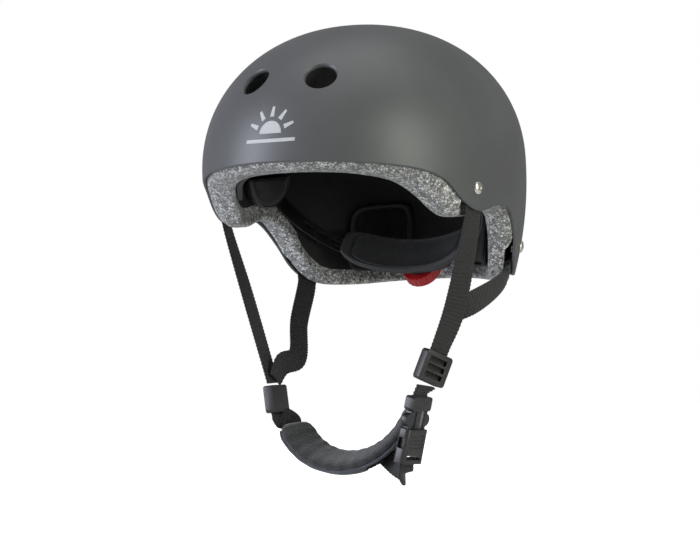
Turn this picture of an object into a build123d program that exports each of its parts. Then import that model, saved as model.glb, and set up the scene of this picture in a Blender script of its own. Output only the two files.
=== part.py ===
from build123d import *
from math import cos, degrees, pi, radians, sin, sqrt
import os

# Child's skate helmet with a dial-fit cradle and a chin harness.  Millimetres, +Z up, the face
# looks along -Y, the wearer's left is +X.  The origin is the middle of the head opening, level
# with the widest section of the shell.

# Shell: elliptical sections, a superelliptic crown and sides that draw in towards the bottom.
HALF_WIDTH = 100.0
FRONT_REACH = 115.0
REAR_REACH = 129.5
CROWN_HEIGHT = 94.5
CROWN_POWER = 2.106
LOWER_TAPER = 0.20
TAPER_DEPTH = 100.0
DOME_FLOOR = -95.0
SHELL_WALL = 2.5
FOAM_WALL = 18.0

# Lower edges, seen from the side as (forward-backward, height).
SHELL_RIM = [(-116, 10.8), (-99, 7.3), (-82, 3.4), (-66, -1.3), (-52, -8.2), (-40, -20.2), (-31, -26.8),
             (-22, -29.8), (-9, -28.2), (4, -28), (15, -30.6), (24, -37), (33, -50), (40, -65),
             (49, -74), (66, -77.6), (90, -78), (132, -78)]
FOAM_RIM = [(-116, 6.6), (-99, 3.8), (-82, -0.4), (-66, -6.9), (-53, -17.2), (-44, -26), (-36, -31),
            (-22, -32.2), (-6, -30), (8, -30.4), (18, -35), (28, -48), (36, -65), (46, -75.6),
            (66, -79.8), (90, -80.2), (132, -80.2)]
FOAM_EDGE_STEP = 5.5
FOAM_EDGE_DROP = 3.0

# The liner is one moulding in the real helmet.  Here six simple solids meet on these planes.
FOAM_LEVEL = 22.0
FOAM_SIDE_FRONT, FOAM_SIDE_BACK = -45.0, 70.0

# Round vents: (left, back) places on the crown of the shell.
VENT_BORE = 20.0
VENT_BEVEL = 24.0
VENT_BEVEL_DEPTH = 1.6
VENT_FOAM_BORE = 22.0
VENT_FRONT_MARGIN = 30.0
VENT_MIDDLE_MARGIN = 55.5
VENT_REAR_MARGINS = ((19, 17.5), (57, 38.5))
VENTS = ([(side * 24, VENT_FRONT_MARGIN - FRONT_REACH) for side in (1, -1)]
         + [(side * 22, 26) for side in (1, -1)]
         + [(left, REAR_REACH - VENT_MIDDLE_MARGIN - abs(left) / 8) for left in (-40, 0, 40)]
         + [(side * left, REAR_REACH - margin) for left, margin in VENT_REAR_MARGINS for side in (1, -1)])

# Comfort pads on hook discs.
HOOK_THICKNESS = 1.2
HOOK_DIAMETER = 16.0
BROW_HOOK_MARGINS = (31.0, 53.0)
PAD_THICKNESS = 5.5
BROW_PAD_HEIGHT = 25.0
BROW_PAD_BACK = -47.0
CROWN_PAD = (40.0, 25.0)
CROWN_PAD_BACK = -13.0
REAR_PAD = (20.0, 54.0, -72.0, -26.0)
SIDE_PAD_FRONT, SIDE_PAD_BACK = -32.0, 23.0
SIDE_PAD_TOP, SIDE_PAD_BOTTOM = 0.0, -22.0
ANCHOR_INSET = 3.5
ANCHOR_STUD = 5.0

# Fit ring: a belt that leaves the temples and slopes down to the nape.
RING_TILT = 45.0
RING_BACK = 12.0
RING_HEIGHT = -13.0
RING_REAR_GAP = 37.0
BELT_WIDTH = 11.0
BELT_THICKNESS = 1.4
BELT_WALL_GAP = 2.0
BELT_FRONT = -8.0
RACK_LENGTH = 12.0
RACK_WIDTH = 2.2
BELT_SLOTS = 5
BELT_SLOT = (8.0, 3.6)
HOUSING_HALF_LENGTH = 30.0
HOUSING_HEIGHT = 20.0
HOUSING_WALL = 1.5
HOUSING_CLEARANCE = 0.3
BOSS_DIAMETER = 17.0
BOSS_HEIGHT = 3.0
NAPE_PAD = (96.0, 28.0, 10.0)
NAPE_PAD_THICKNESS = 6.0
DIAL_DIAMETER = 26.0
DIAL_THICKNESS = 8.5
DIAL_GAP = 0.4
DIAL_FLUTES = 24
DIAL_FLUTE_DIAMETER = 2.4
PINION_GAP = 0.1
PINION_TEETH = 8
PINION_SHAFT = 4.2
SHAFT_CLEARANCE = 0.05
SCREW_HEAD = 7.0

# Harness webbing, rivets and hardware.
WEB_WIDTH = 15.0
WEB_THICKNESS = 1.4
FRONT_STRAP_BACK = -26.0
REAR_STRAP_BACK = 55.0
FRONT_RIVET_HEIGHT = -15.0
REAR_RIVET_HEIGHT = -58.0
RIVET_HEAD = 8.0
RIVET_HEAD_HEIGHT = 2.2
RIVET_SHANK = 3.4
WASHER_DIAMETER = 9.0
WASHER_THICKNESS = 0.9
STRAP_TOP = 6.0
CHANNEL_MARGIN = 4.5
CHANNEL_DEPTH = 4.8
REAR_STRAP_SWING = 10.0
GLIDE_RAIL = 3.5
SLIDER_RAIL = 3.0
GLIDE_SIZE = (WEB_WIDTH + 2 * GLIDE_RAIL, 6.4, 20.0)
SLIDER_SIZE = (WEB_WIDTH + 2 * SLIDER_RAIL, 6.4, 18.0)
SLIDE_CLEARANCE = 0.4
GLIDE_CENTRE = Vector(64, -41, -126)
JUNCTION_LEFT = Vector(74.5, -27.5, -92)
SLIDER_CENTRE = Vector(-60, -32, -146)

# Side-release buckle: its frame has the pull direction as local Z and the width as local X.
BUCKLE_MOUTH = Vector(50.6, -47.6, -163.6)
BUCKLE_TOP = Vector(55.4, -45.2, -143.3)
BUCKLE_RAIL = 3.5
BUCKLE_WIDTH = WEB_WIDTH + 2 * BUCKLE_RAIL
BUCKLE_THICKNESS = 9.0
BUCKLE_FEMALE = 22.0
BUCKLE_BASE = 9.0
BUCKLE_GRIP = 12.0
BUCKLE_WALL = 1.8
TONGUE_WIDTH = 5.0
PRONG_WIDTH = 2.6
PRONG_REACH = 12.5
BUCKLE_CLEARANCE = 0.35

# Chin strap and pad: an arc about one axis, with the section tilted to cup the chin.
CHIN_CENTRE = Vector(-6, -24.6, -141.6)
CHIN_RADIUS = 47.0
CHIN_LEAN = 19.0
CHIN_CUP = 38.0
CHIN_PAD_START, CHIN_PAD_END = -152.5, -14.0
CHIN_SLEEVE_END = -70.0
CHIN_WEB_START, CHIN_WEB_END = -158.0, -56.0
CHIN_PAD_MARGIN = 4.5
CHIN_PAD_WIDTH = WEB_WIDTH + 2 * CHIN_PAD_MARGIN
CHIN_PAD_THICKNESS = 8.0
CHIN_GAP = 0.4
CHIN_SLEEVE_WALL = 1.0
CHIN_STEPS = 20

FOAM_INNER = SHELL_WALL + FOAM_WALL
ANCHOR_THICKNESS = BELT_WALL_GAP + BELT_THICKNESS + 1.2
PAD_BACK = FOAM_INNER + HOOK_THICKNESS
SIDE_PAD_BACKING = FOAM_INNER + ANCHOR_THICKNESS
RING_DEPTH = REAR_REACH - FOAM_INNER - RING_REAR_GAP
PINION_DIAMETER = BELT_WIDTH - 2 * (RACK_WIDTH + PINION_GAP)
FAR = 2 * REAR_REACH


def share(height, offset=0.0):
    """Section size at a height, as a share of the widest section."""
    crown = CROWN_HEIGHT - offset
    if height <= 0:
        return 1 - LOWER_TAPER * (height / TAPER_DEPTH) ** 2
    return (1 - min(height / crown, 1) ** CROWN_POWER) ** (1 / CROWN_POWER)


def dome(offset):
    """Solid inside the helmet's outer surface moved inwards by an offset."""
    width, crown = HALF_WIDTH - offset, CROWN_HEIGHT - offset
    lower = [(width * share(z), z) for z in (DOME_FLOOR, 0.66 * DOME_FLOOR, 0.33 * DOME_FLOOR)]
    turns = [radians(turn) for turn in range(0, 90, 9)]
    power = 2 / CROWN_POWER
    upper = [(width * cos(turn) ** power, crown * sin(turn) ** power) for turn in turns]
    slope = -2 * LOWER_TAPER * DOME_FLOOR / TAPER_DEPTH ** 2 * width
    side = Spline(*lower, *upper, (0, crown), tangents=[(slope, 1), (-1, 0)])
    base = Polyline((0, crown), (0, DOME_FLOOR), (width * share(DOME_FLOOR), DOME_FLOOR))
    rear = revolve(Plane.XZ * make_face([side, base]), Axis.Z, 180)
    front = mirror(rear, Plane.XZ)
    front = scale(front, by=(1, (FRONT_REACH - offset) / width, 1))
    rear = scale(rear, by=(1, (REAR_REACH - offset) / width, 1))
    return front + rear


DOMES = {}


def layer(outer, inner):
    """Wall between two offsets of the helmet's surface."""
    for offset in (outer, inner):
        if offset not in DOMES:
            DOMES[offset] = dome(offset)
    return DOMES[outer] - DOMES[inner]


def above(rim, shift=0.0):
    """Everything above a lower edge that is drawn from the side."""
    points = [(back, height + shift) for back, height in rim]
    first, last = points[0], points[-1]
    frame = Polyline(last, (FAR, last[1]), (FAR, FAR), (-FAR, FAR), (-FAR, first[1]), first)
    return extrude(Plane.YZ * make_face([Spline(*points), frame]), FAR, both=True)


def block(low, high):
    """Box between two corners."""
    size = [top - bottom for bottom, top in zip(low, high)]
    return Pos(*low) * Box(*size, align=(Align.MIN,) * 3)


def side_half(side):
    """Half of space on one side of the middle plane."""
    return block((0, -FAR, -FAR), (FAR, FAR, FAR)) if side > 0 else block((-FAR, -FAR, -FAR), (0, FAR, FAR))


def reach(back, offset):
    """Half length of the widest section towards the front or the back."""
    return (FRONT_REACH if back < 0 else REAR_REACH) - offset


def wall_plane(side, back, height, offset):
    """Plane on the wall at a place seen from the side, with its normal pointing outwards."""
    size, width = share(height, offset), HALF_WIDTH - offset
    left = width * sqrt(size ** 2 - (back / reach(back, offset)) ** 2)
    return surface_plane(side * left, back, height, offset)


def crown_plane(left, back, offset):
    """Plane on the crown at a place seen from above, with its normal pointing outwards."""
    size = sqrt((left / (HALF_WIDTH - offset)) ** 2 + (back / reach(back, offset)) ** 2)
    height = (CROWN_HEIGHT - offset) * (1 - size ** CROWN_POWER) ** (1 / CROWN_POWER)
    return surface_plane(left, back, height, offset)


def surface_plane(left, back, height, offset):
    """Plane at a point of the offset surface, with its normal pointing outwards."""
    step = 0.01
    size = share(height, offset)
    slope = (share(height + step, offset) - share(height - step, offset)) / (2 * step)
    normal = Vector(left / (HALF_WIDTH - offset) ** 2, back / reach(back, offset) ** 2, -size * slope)
    return Plane(origin=(left, back, height), z_dir=normal)


def through(plane, diameter, depth):
    """Round bar that crosses the wall along a plane's normal."""
    return plane * Cylinder(diameter / 2, 2 * depth)


def ribbon(stations, width=WEB_WIDTH, thickness=WEB_THICKNESS):
    """Flat webbing through stations, each a point and the way its outer face looks."""
    points = [point for point, _ in stations]
    sections = []
    for index, (point, face) in enumerate(stations):
        ahead = points[min(index + 1, len(points) - 1)] - points[max(index - 1, 0)]
        across = ahead.cross(Vector(*face)).normalized()
        section = Plane(origin=point, x_dir=across, z_dir=ahead) * Rectangle(width, thickness)
        sections.append(section)
    return loft(sections, ruled=True)


def outer_shell():
    """Thin moulded shell with bevelled round vents and rivet holes."""
    shell = layer(0, SHELL_WALL) & above(SHELL_RIM)
    for left, back in VENTS:
        plane = crown_plane(left, back, 0)
        shell -= through(plane, VENT_BORE, 4 * SHELL_WALL)
        shell -= plane * Cone(VENT_BORE / 2, VENT_BEVEL - VENT_BORE / 2, 2 * VENT_BEVEL_DEPTH)
    for side, back, height in RIVETS:
        shell -= through(wall_plane(side, back, height, 0), RIVET_SHANK, 4 * SHELL_WALL)
    return shell


RIVETS = [(side, back, height) for back, height in ((FRONT_STRAP_BACK, FRONT_RIVET_HEIGHT),
                                                    (REAR_STRAP_BACK, REAR_RIVET_HEIGHT))
          for side in (1, -1)]


def foam_liner():
    """Bead-foam liner with vent bores, strap channels and a stepped lower edge."""
    foam = layer(SHELL_WALL, FOAM_INNER) & above(FOAM_RIM)
    edge_layer = layer(0, SHELL_WALL + FOAM_EDGE_STEP)
    foam -= edge_layer - above(SHELL_RIM, -FOAM_EDGE_DROP)
    for left, back in VENTS:
        foam -= through(crown_plane(left, back, 0), VENT_FOAM_BORE, 2 * FOAM_INNER)
    channel_layer = layer(0, SHELL_WALL + CHANNEL_DEPTH)
    half = WEB_WIDTH / 2 + CHANNEL_MARGIN
    for front, back, height in ((FRONT_STRAP_BACK, FRONT_STRAP_BACK, FRONT_RIVET_HEIGHT),
                                (REAR_STRAP_BACK - REAR_STRAP_SWING, REAR_STRAP_BACK, REAR_RIVET_HEIGHT)):
        top = height + STRAP_TOP + CHANNEL_MARGIN
        foam -= channel_layer & block((-FAR, front - half, -FAR), (FAR, back + half, top))
    return foam


LINER = {}


def foam_part(low, high):
    """Part of the liner between two corners."""
    if not LINER:
        LINER["whole"] = foam_liner()
    return LINER["whole"] & block(low, high)


def rivets(group):
    """Two domed rivets whose shanks pass the shell, the strap and the washer."""
    parts = []
    for side, back, height in group:
        plane = wall_plane(side, back, height, 0)
        dome_radius = (RIVET_HEAD ** 2 / 4 + RIVET_HEAD_HEIGHT ** 2) / (2 * RIVET_HEAD_HEIGHT)
        head = Pos(0, 0, RIVET_HEAD_HEIGHT - dome_radius) * Sphere(dome_radius)
        head &= Pos(0, 0, RIVET_HEAD_HEIGHT / 2 + 0.2) * Cylinder(RIVET_HEAD, RIVET_HEAD_HEIGHT)
        length = SHELL_WALL + 2 * WEB_THICKNESS + WASHER_THICKNESS
        shank = Pos(0, 0, 0.4 - length / 2) * Cylinder(RIVET_SHANK / 2, length)
        parts.append(plane * (head + shank))
    return Compound(children=parts)


def strap_offset(layers=0.5):
    """Depth of a strap's middle under the outer surface, counted in webbing layers."""
    return SHELL_WALL + 0.25 + layers * WEB_THICKNESS


def rivet_washers():
    """Washers that back the straps behind each rivet."""
    parts = []
    for side, back, height in RIVETS:
        plane = wall_plane(side, back, height, 0)
        depth = strap_offset(1) + 0.35 + WASHER_THICKNESS / 2
        washer = Cylinder(WASHER_DIAMETER / 2, WASHER_THICKNESS) - Cylinder(RIVET_SHANK / 2, 2)
        parts.append(plane * Pos(0, 0, -depth) * washer)
    return Compound(children=parts)


def vent_bars(spare):
    """Bars through every vent, wider than the foam's bore by a spare width."""
    bars = [through(crown_plane(left, back, 0), VENT_FOAM_BORE + spare, 2 * FOAM_INNER)
            for left, back in VENTS]
    return bars[0] + bars[1:]


def brow_pad():
    """Band of padding inside the brow."""
    band = layer(PAD_BACK, PAD_BACK + PAD_THICKNESS)
    band &= above(FOAM_RIM, 1.5) - above(FOAM_RIM, 1.5 + BROW_PAD_HEIGHT)
    return band & block((-FAR, -FAR, -FAR), (FAR, BROW_PAD_BACK, FAR))


def crown_pad():
    """Oval pad under the crown."""
    outline = Pos(0, CROWN_PAD_BACK) * Ellipse(*CROWN_PAD)
    return layer(PAD_BACK, PAD_BACK + PAD_THICKNESS) & extrude(outline, FAR) - vent_bars(2)


def rear_pad(side):
    """Pad on the back of the head, beside the cradle."""
    low, high, bottom, top = REAR_PAD
    outline = Plane.XZ * Pos((low + high) / 2, (bottom + top) / 2) * RectangleRounded(
        high - low, top - bottom, 10)
    pad = layer(PAD_BACK, PAD_BACK + PAD_THICKNESS) & extrude(outline, -FAR)
    return pad if side > 0 else mirror(pad, Plane.YZ)


def side_outline(inset):
    """Half-round outline of a temple pad, seen from the side."""
    front, back = SIDE_PAD_FRONT + inset, SIDE_PAD_BACK - inset
    top, bottom = SIDE_PAD_TOP - inset, SIDE_PAD_BOTTOM + inset
    middle, half = (front + back) / 2, (back - front) / 2
    shape = Plane.YZ * (Pos(middle, top) * (Ellipse(half, top - bottom)
                        & Pos(0, -half) * Rectangle(2 * half, 2 * half)))
    return extrude(shape, FAR)


def temple(side, outer, inner, inset):
    """Temple pad or plate between two offsets of the wall."""
    piece = layer(outer, inner) & side_outline(inset)
    return piece if side > 0 else mirror(piece, Plane.YZ)


def fit_anchor(side):
    """Plate on the foam that holds the front end of the fit belt."""
    plate = temple(side, FOAM_INNER, FOAM_INNER + ANCHOR_THICKNESS, ANCHOR_INSET)
    slot = RING * ring_band(-HOUSING_CLEARANCE, BELT_THICKNESS + HOUSING_CLEARANCE, BELT_WIDTH + 0.6)
    plane = wall_plane(side, SIDE_PAD_FRONT + 12, SIDE_PAD_TOP - 8, FOAM_INNER)
    stud = plane * Cylinder(ANCHOR_STUD / 2, 3 * ANCHOR_THICKNESS)
    return plate - slot - stud


def anchor_studs():
    """Studs that pin the two anchor plates to the foam."""
    parts = []
    for side in (1, -1):
        plane = wall_plane(side, SIDE_PAD_FRONT + 12, SIDE_PAD_TOP - 8, FOAM_INNER)
        stud = Pos(0, 0, -0.5 * ANCHOR_THICKNESS + 0.2) * Cylinder(ANCHOR_STUD / 2, ANCHOR_THICKNESS - 0.6)
        parts.append(plane * stud)
    return Compound(children=parts)


def hook_patches():
    """Hook discs between the foam and the pads."""
    places = [crown_plane(0, CROWN_PAD_BACK, FOAM_INNER)]
    places += [crown_plane(side * 24, CROWN_PAD_BACK, FOAM_INNER) for side in (1, -1)]
    places += [wall_plane(side, back, 18, FOAM_INNER) for side in (1, -1)
               for back in (margin - FRONT_REACH for margin in BROW_HOOK_MARGINS)]
    low, high, bottom, top = REAR_PAD
    middle = (bottom + top) / 2
    for side in (1, -1):
        left = side * (low + high) / 2
        depth = sqrt(share(middle) ** 2 - (left / (HALF_WIDTH - FOAM_INNER)) ** 2)
        places.append(surface_plane(left, (REAR_REACH - FOAM_INNER) * depth, middle, FOAM_INNER))
    film = layer(FOAM_INNER, PAD_BACK)
    return Compound(children=[film & through(place, HOOK_DIAMETER, 2 * HOOK_THICKNESS) for place in places])


# The ring's own frame: local Y runs back and down to the nape, local Z across the belt.
RING = Plane(origin=(0, RING_BACK, RING_HEIGHT), x_dir=(1, 0, 0),
             z_dir=(0, sin(radians(RING_TILT)), cos(radians(RING_TILT))))
RING_HALF_WIDTH = (HALF_WIDTH - FOAM_INNER) * share(RING_HEIGHT) - BELT_THICKNESS - BELT_WALL_GAP


def ring_band(inner, outer, height):
    """Upright elliptical band in the ring's frame, measured outwards from the belt's inner face."""
    outside = Ellipse(RING_HALF_WIDTH + outer, RING_DEPTH + outer)
    inside = Ellipse(RING_HALF_WIDTH + inner, RING_DEPTH + inner)
    return extrude(outside - inside, height / 2, both=True)


def fit_belt(side):
    """Flexible slotted belt that ends in a rack beside the pinion."""
    band = ring_band(0, BELT_THICKNESS, BELT_WIDTH)
    far = RING_HALF_WIDTH + 10
    main = block((RACK_LENGTH, BELT_FRONT, -FAR), (far, FAR, FAR))
    edge = BELT_WIDTH / 2
    rack = block((-RACK_LENGTH, 0, edge - RACK_WIDTH), (RACK_LENGTH + 1, FAR, edge))
    belt = band & (main + rack)
    for index in range(BELT_SLOTS):
        turn = radians(28 + 9 * index)
        place = Pos(RING_HALF_WIDTH * cos(turn), RING_DEPTH * sin(turn), 0)
        facing = degrees(turn) + (90 - degrees(turn)) * 0.04
        belt -= place * Rot(0, 0, facing) * Box(12, BELT_SLOT[0], BELT_SLOT[1])
    return RING * (belt if side > 0 else Rot(0, 180, 0) * belt)


def dial_housing():
    """Curved box behind the nape that guides both racks and carries the dial."""
    inner, outer = -HOUSING_CLEARANCE - HOUSING_WALL, BELT_THICKNESS + HOUSING_CLEARANCE + HOUSING_WALL
    span = block((-HOUSING_HALF_LENGTH, 0, -FAR), (HOUSING_HALF_LENGTH, FAR, FAR))
    body = ring_band(inner, outer, HOUSING_HEIGHT) & span
    body -= ring_band(-HOUSING_CLEARANCE, BELT_THICKNESS + HOUSING_CLEARANCE, BELT_WIDTH + 0.8)
    seat = RING_DEPTH + outer
    turned = Rot(-90, 0, 0)
    body += Pos(0, seat + BOSS_HEIGHT / 2 - 0.5, 0) * turned * Cylinder(BOSS_DIAMETER / 2, BOSS_HEIGHT + 1)
    hole = Pos(0, seat, 0) * turned * Cylinder(PINION_SHAFT / 2 + SHAFT_CLEARANCE, 4 * BOSS_HEIGHT)
    return RING * (body - hole)


DIAL_SEAT = RING_DEPTH + BELT_THICKNESS + HOUSING_CLEARANCE + HOUSING_WALL + BOSS_HEIGHT + DIAL_GAP


def nape_pad():
    """Pad on the inside of the cradle."""
    outer = -HOUSING_CLEARANCE - HOUSING_WALL
    length, height, corner = NAPE_PAD
    outline = extrude(Plane.XZ * RectangleRounded(length, height, corner), -FAR)
    return RING * (ring_band(outer - NAPE_PAD_THICKNESS, outer, 2 * height) & outline)


def fit_dial():
    """Knurled knob with a screw recess."""
    knob = Cylinder(DIAL_DIAMETER / 2, DIAL_THICKNESS)
    knob = chamfer(knob.edges().sort_by(Axis.Z)[-1], 1.5)
    for index in range(DIAL_FLUTES):
        knob -= Rot(0, 0, index * 360 / DIAL_FLUTES) * Pos(DIAL_DIAMETER / 2 + 0.4, 0, 0) * Cylinder(
            DIAL_FLUTE_DIAMETER / 2, 2 * DIAL_THICKNESS)
    knob -= Pos(0, 0, DIAL_THICKNESS / 2) * Cylinder(SCREW_HEAD / 2 + 0.3, 5)
    knob -= Cylinder(PINION_SHAFT / 2, 2 * DIAL_THICKNESS)
    return RING * (Pos(0, DIAL_SEAT + DIAL_THICKNESS / 2, 0) * Rot(-90, 0, 0) * knob)


def dial_pinion():
    """Pinion between the racks, with the shaft that the dial is keyed on."""
    gear = Cylinder(PINION_DIAMETER / 2 - 0.9, BELT_THICKNESS)
    for index in range(PINION_TEETH):
        tooth = Pos(PINION_DIAMETER / 2 - 1, 0, 0) * Box(2, 0.8, BELT_THICKNESS)
        gear += Rot(0, 0, index * 360 / PINION_TEETH) * tooth
    gear = Pos(0, RING_DEPTH + BELT_THICKNESS / 2 - 0.05, 0) * Rot(-90, 0, 0) * gear
    start, end = RING_DEPTH + 0.1, DIAL_SEAT + DIAL_THICKNESS - 2.5
    shaft = Pos(0, (start + end) / 2, 0) * Rot(-90, 0, 0) * Cylinder(PINION_SHAFT / 2, end - start)
    bore = Pos(0, end, 0) * Rot(-90, 0, 0) * Cylinder(0.9, 12)
    return RING * (gear + shaft - bore)


def dial_screw():
    """Screw that holds the dial on the pinion's shaft."""
    seat = DIAL_SEAT + DIAL_THICKNESS - 2.5
    head = Pos(0, seat + 1.0, 0) * Rot(-90, 0, 0) * (
        Cylinder(SCREW_HEAD / 2, 2.0) - Pos(0, 0, 1) * (Box(4.2, 0.9, 1.6) + Box(0.9, 4.2, 1.6)))
    shank = Pos(0, seat - 2.4, 0) * Rot(-90, 0, 0) * Cylinder(0.85, 5)
    return RING * (head + shank)


def wall_stations(side, back, rivet, bottom, swing=0.0):
    """Strap stations that follow the inside of the shell, from above the rivet to the rim."""
    stations = []
    for step in range(5):
        part = step / 4
        height = rivet + STRAP_TOP + (bottom - rivet - STRAP_TOP) * part
        plane = wall_plane(side, back - swing * part, height, strap_offset() + swing * part ** 2 / 8)
        stations.append((plane.origin, plane.z_dir))
    return stations


GLIDE_AXIS = (JUNCTION_LEFT - GLIDE_CENTRE).normalized()
GLIDE_FACE = Vector(0.94, -0.34, 0)
LEFT_FACE = Vector(0.80, -0.60, 0)
BUCKLE_AXIS = (BUCKLE_TOP - BUCKLE_MOUTH).normalized()
BUCKLE_FACE = Vector(0.99, -0.10, 0)
SLIDER_AXIS = Vector(-0.12, 0.10, 0.99).normalized()
SLIDER_FACE = Vector(-0.99, -0.05, 0)


def frame_on(centre, axis, face):
    """Frame of a piece of hardware: local Z along the strap, local Y out of its outer face."""
    across = Vector(*face).cross(Vector(*axis)).normalized()
    return Plane(origin=centre, x_dir=across, z_dir=axis)


GLIDE = frame_on(GLIDE_CENTRE, GLIDE_AXIS, GLIDE_FACE)
BUCKLE = frame_on(BUCKLE_MOUTH, BUCKLE_AXIS, BUCKLE_FACE)
SLIDER = frame_on(SLIDER_CENTRE, SLIDER_AXIS, SLIDER_FACE)


def drilled(strap, back, height, side):
    """Strap with the hole that its rivet passes."""
    return strap - through(wall_plane(side, back, height, 0), RIVET_SHANK, 12)


def front_strap_left():
    """Strap from the left front rivet through the tri-glide."""
    top = wall_stations(1, FRONT_STRAP_BACK, FRONT_RIVET_HEIGHT, -31)
    bottom = GLIDE_CENTRE - GLIDE_AXIS * (GLIDE_SIZE[2] / 2 + 0.3)
    run = [(JUNCTION_LEFT, LEFT_FACE), (GLIDE_CENTRE + GLIDE_AXIS * 14, GLIDE_FACE), (bottom, GLIDE_FACE)]
    return drilled(ribbon(top + run), FRONT_STRAP_BACK, FRONT_RIVET_HEIGHT, 1)


def rear_strap_left():
    """Strap from the left rear rivet to its seam behind the front strap."""
    top = wall_stations(1, REAR_STRAP_BACK, REAR_RIVET_HEIGHT, -76, REAR_STRAP_SWING)
    end = JUNCTION_LEFT - LEFT_FACE * (WEB_THICKNESS + 1.2)
    strap = ribbon(top + [(end + Vector(8.4, 11.2, 4), LEFT_FACE), (end, LEFT_FACE)])
    return drilled(strap, REAR_STRAP_BACK, REAR_RIVET_HEIGHT, 1)


def front_strap_right():
    """Strap from the right front rivet to the slider."""
    top = wall_stations(-1, FRONT_STRAP_BACK, FRONT_RIVET_HEIGHT, -31)
    end = SLIDER.origin + SLIDER_AXIS * (SLIDER_SIZE[2] / 2 + 1.5) + SLIDER_FACE * WEB_THICKNESS * 0.7
    strap = ribbon(top + [(Vector(-80, -27, -75), (-0.99, -0.05, 0)), (end, SLIDER_FACE)])
    return drilled(strap, FRONT_STRAP_BACK, FRONT_RIVET_HEIGHT, -1)


def rear_strap_right():
    """Strap from the right rear rivet to the slider, bowed inwards at its lower end."""
    top = wall_stations(-1, REAR_STRAP_BACK, REAR_RIVET_HEIGHT, -76, REAR_STRAP_SWING)
    end = SLIDER.origin + SLIDER_AXIS * (SLIDER_SIZE[2] / 2 + 4) - SLIDER_FACE * WEB_THICKNESS * 0.9
    bow = [(Vector(-70, 20, -100), (-0.86, 0.5, 0)), (Vector(-57.5, -7, -122), (-0.9, 0.3, -0.3)),
           (end + Vector(1.5, 8, 9), (-0.95, 0.1, -0.2)), (end, SLIDER_FACE)]
    return drilled(ribbon(top + bow), REAR_STRAP_BACK, REAR_RIVET_HEIGHT, -1)


def strap_frame(size, ridges):
    """Moulded slide: a sleeve round the webbing with windows between its outer bars."""
    width, thickness, height = size
    body = Box(width, thickness, height)
    body = fillet(body.edges().filter_by(Axis.Y), 2.2)
    body -= Box(WEB_WIDTH + 2 * SLIDE_CLEARANCE, 2 * WEB_THICKNESS + 2 * SLIDE_CLEARANCE, 2 * height)
    pitch = (height - 5) / (ridges + 1)
    for index in range(ridges + 1):
        low = -height / 2 + 2.5 + pitch * (index + 0.5)
        body -= Pos(0, thickness / 2, low) * Box(WEB_WIDTH - 1, thickness, pitch - 1.8)
    return body


def tri_glide_left():
    """Tri-glide that sets the length of the left straps."""
    return GLIDE * strap_frame(GLIDE_SIZE, 2)


def strap_slider_right():
    """Slider where the right front and rear straps meet."""
    return SLIDER * strap_frame(SLIDER_SIZE, 1)


def buckle_loop_left():
    """Webbing loop between the tri-glide and the buckle's male half."""
    start = GLIDE_CENTRE - GLIDE_AXIS * (GLIDE_SIZE[2] / 2 + 2.8)
    end = BUCKLE.origin + BUCKLE_AXIS * (BUCKLE_GRIP + BUCKLE_BASE - 3)
    return ribbon([(start, GLIDE_FACE), (end + BUCKLE_AXIS * 4, BUCKLE_FACE), (end, BUCKLE_FACE)],
                  thickness=2 * WEB_THICKNESS)


def buckle_female():
    """Female half: a flat socket with side windows and a webbing bar."""
    body = Pos(0, 0, -BUCKLE_FEMALE / 2) * Box(BUCKLE_WIDTH, BUCKLE_THICKNESS, BUCKLE_FEMALE)
    body = fillet(body.edges().filter_by(Axis.Z), 3)
    cavity_depth = PRONG_REACH + 2
    inner_width, inner_height = BUCKLE_WIDTH - 2 * BUCKLE_WALL, BUCKLE_THICKNESS - 2 * BUCKLE_WALL
    body -= Pos(0, 0, -cavity_depth / 2 + 1) * Box(inner_width, inner_height, cavity_depth + 2)
    body -= Pos(0, 0, -PRONG_REACH + 3.5) * Box(2 * BUCKLE_WIDTH, inner_height - 0.6, 7)
    slot = WEB_THICKNESS + 1.4
    body -= Pos(0, 0, -BUCKLE_FEMALE + 2.6 + slot / 2) * Box(WEB_WIDTH + 1, 2 * BUCKLE_THICKNESS, slot)
    body -= Pos(0, 0, -BUCKLE_FEMALE) * Box(WEB_WIDTH + 1, WEB_THICKNESS + 1.2, 9)
    for index in range(4):
        ridge = Pos(0, BUCKLE_THICKNESS / 2, -4 - 2.4 * index) * Box(WEB_WIDTH - 2, 0.8, 1.2)
        body -= ridge
    return BUCKLE * body


def buckle_male():
    """Male half: base with a webbing slot, a centre tongue and pivot ears for the prongs."""
    top = BUCKLE_GRIP + BUCKLE_BASE
    base = Pos(0, 0, BUCKLE_GRIP + BUCKLE_BASE / 2) * Box(BUCKLE_WIDTH - 2, BUCKLE_THICKNESS - 2, BUCKLE_BASE)
    base = fillet(base.edges().filter_by(Axis.Y), 2)
    slot = 2 * WEB_THICKNESS + 1
    base -= Pos(0, 0, top - 3) * Box(WEB_WIDTH + 0.8, slot, 7)
    length = BUCKLE_GRIP + PRONG_REACH - 1
    tongue_height = BUCKLE_THICKNESS - 2 * BUCKLE_WALL - 2 * BUCKLE_CLEARANCE
    tongue = Pos(0, 0, BUCKLE_GRIP - length / 2 + 0.5) * Box(TONGUE_WIDTH, tongue_height, length + 1)
    return BUCKLE * (base + tongue)


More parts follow.
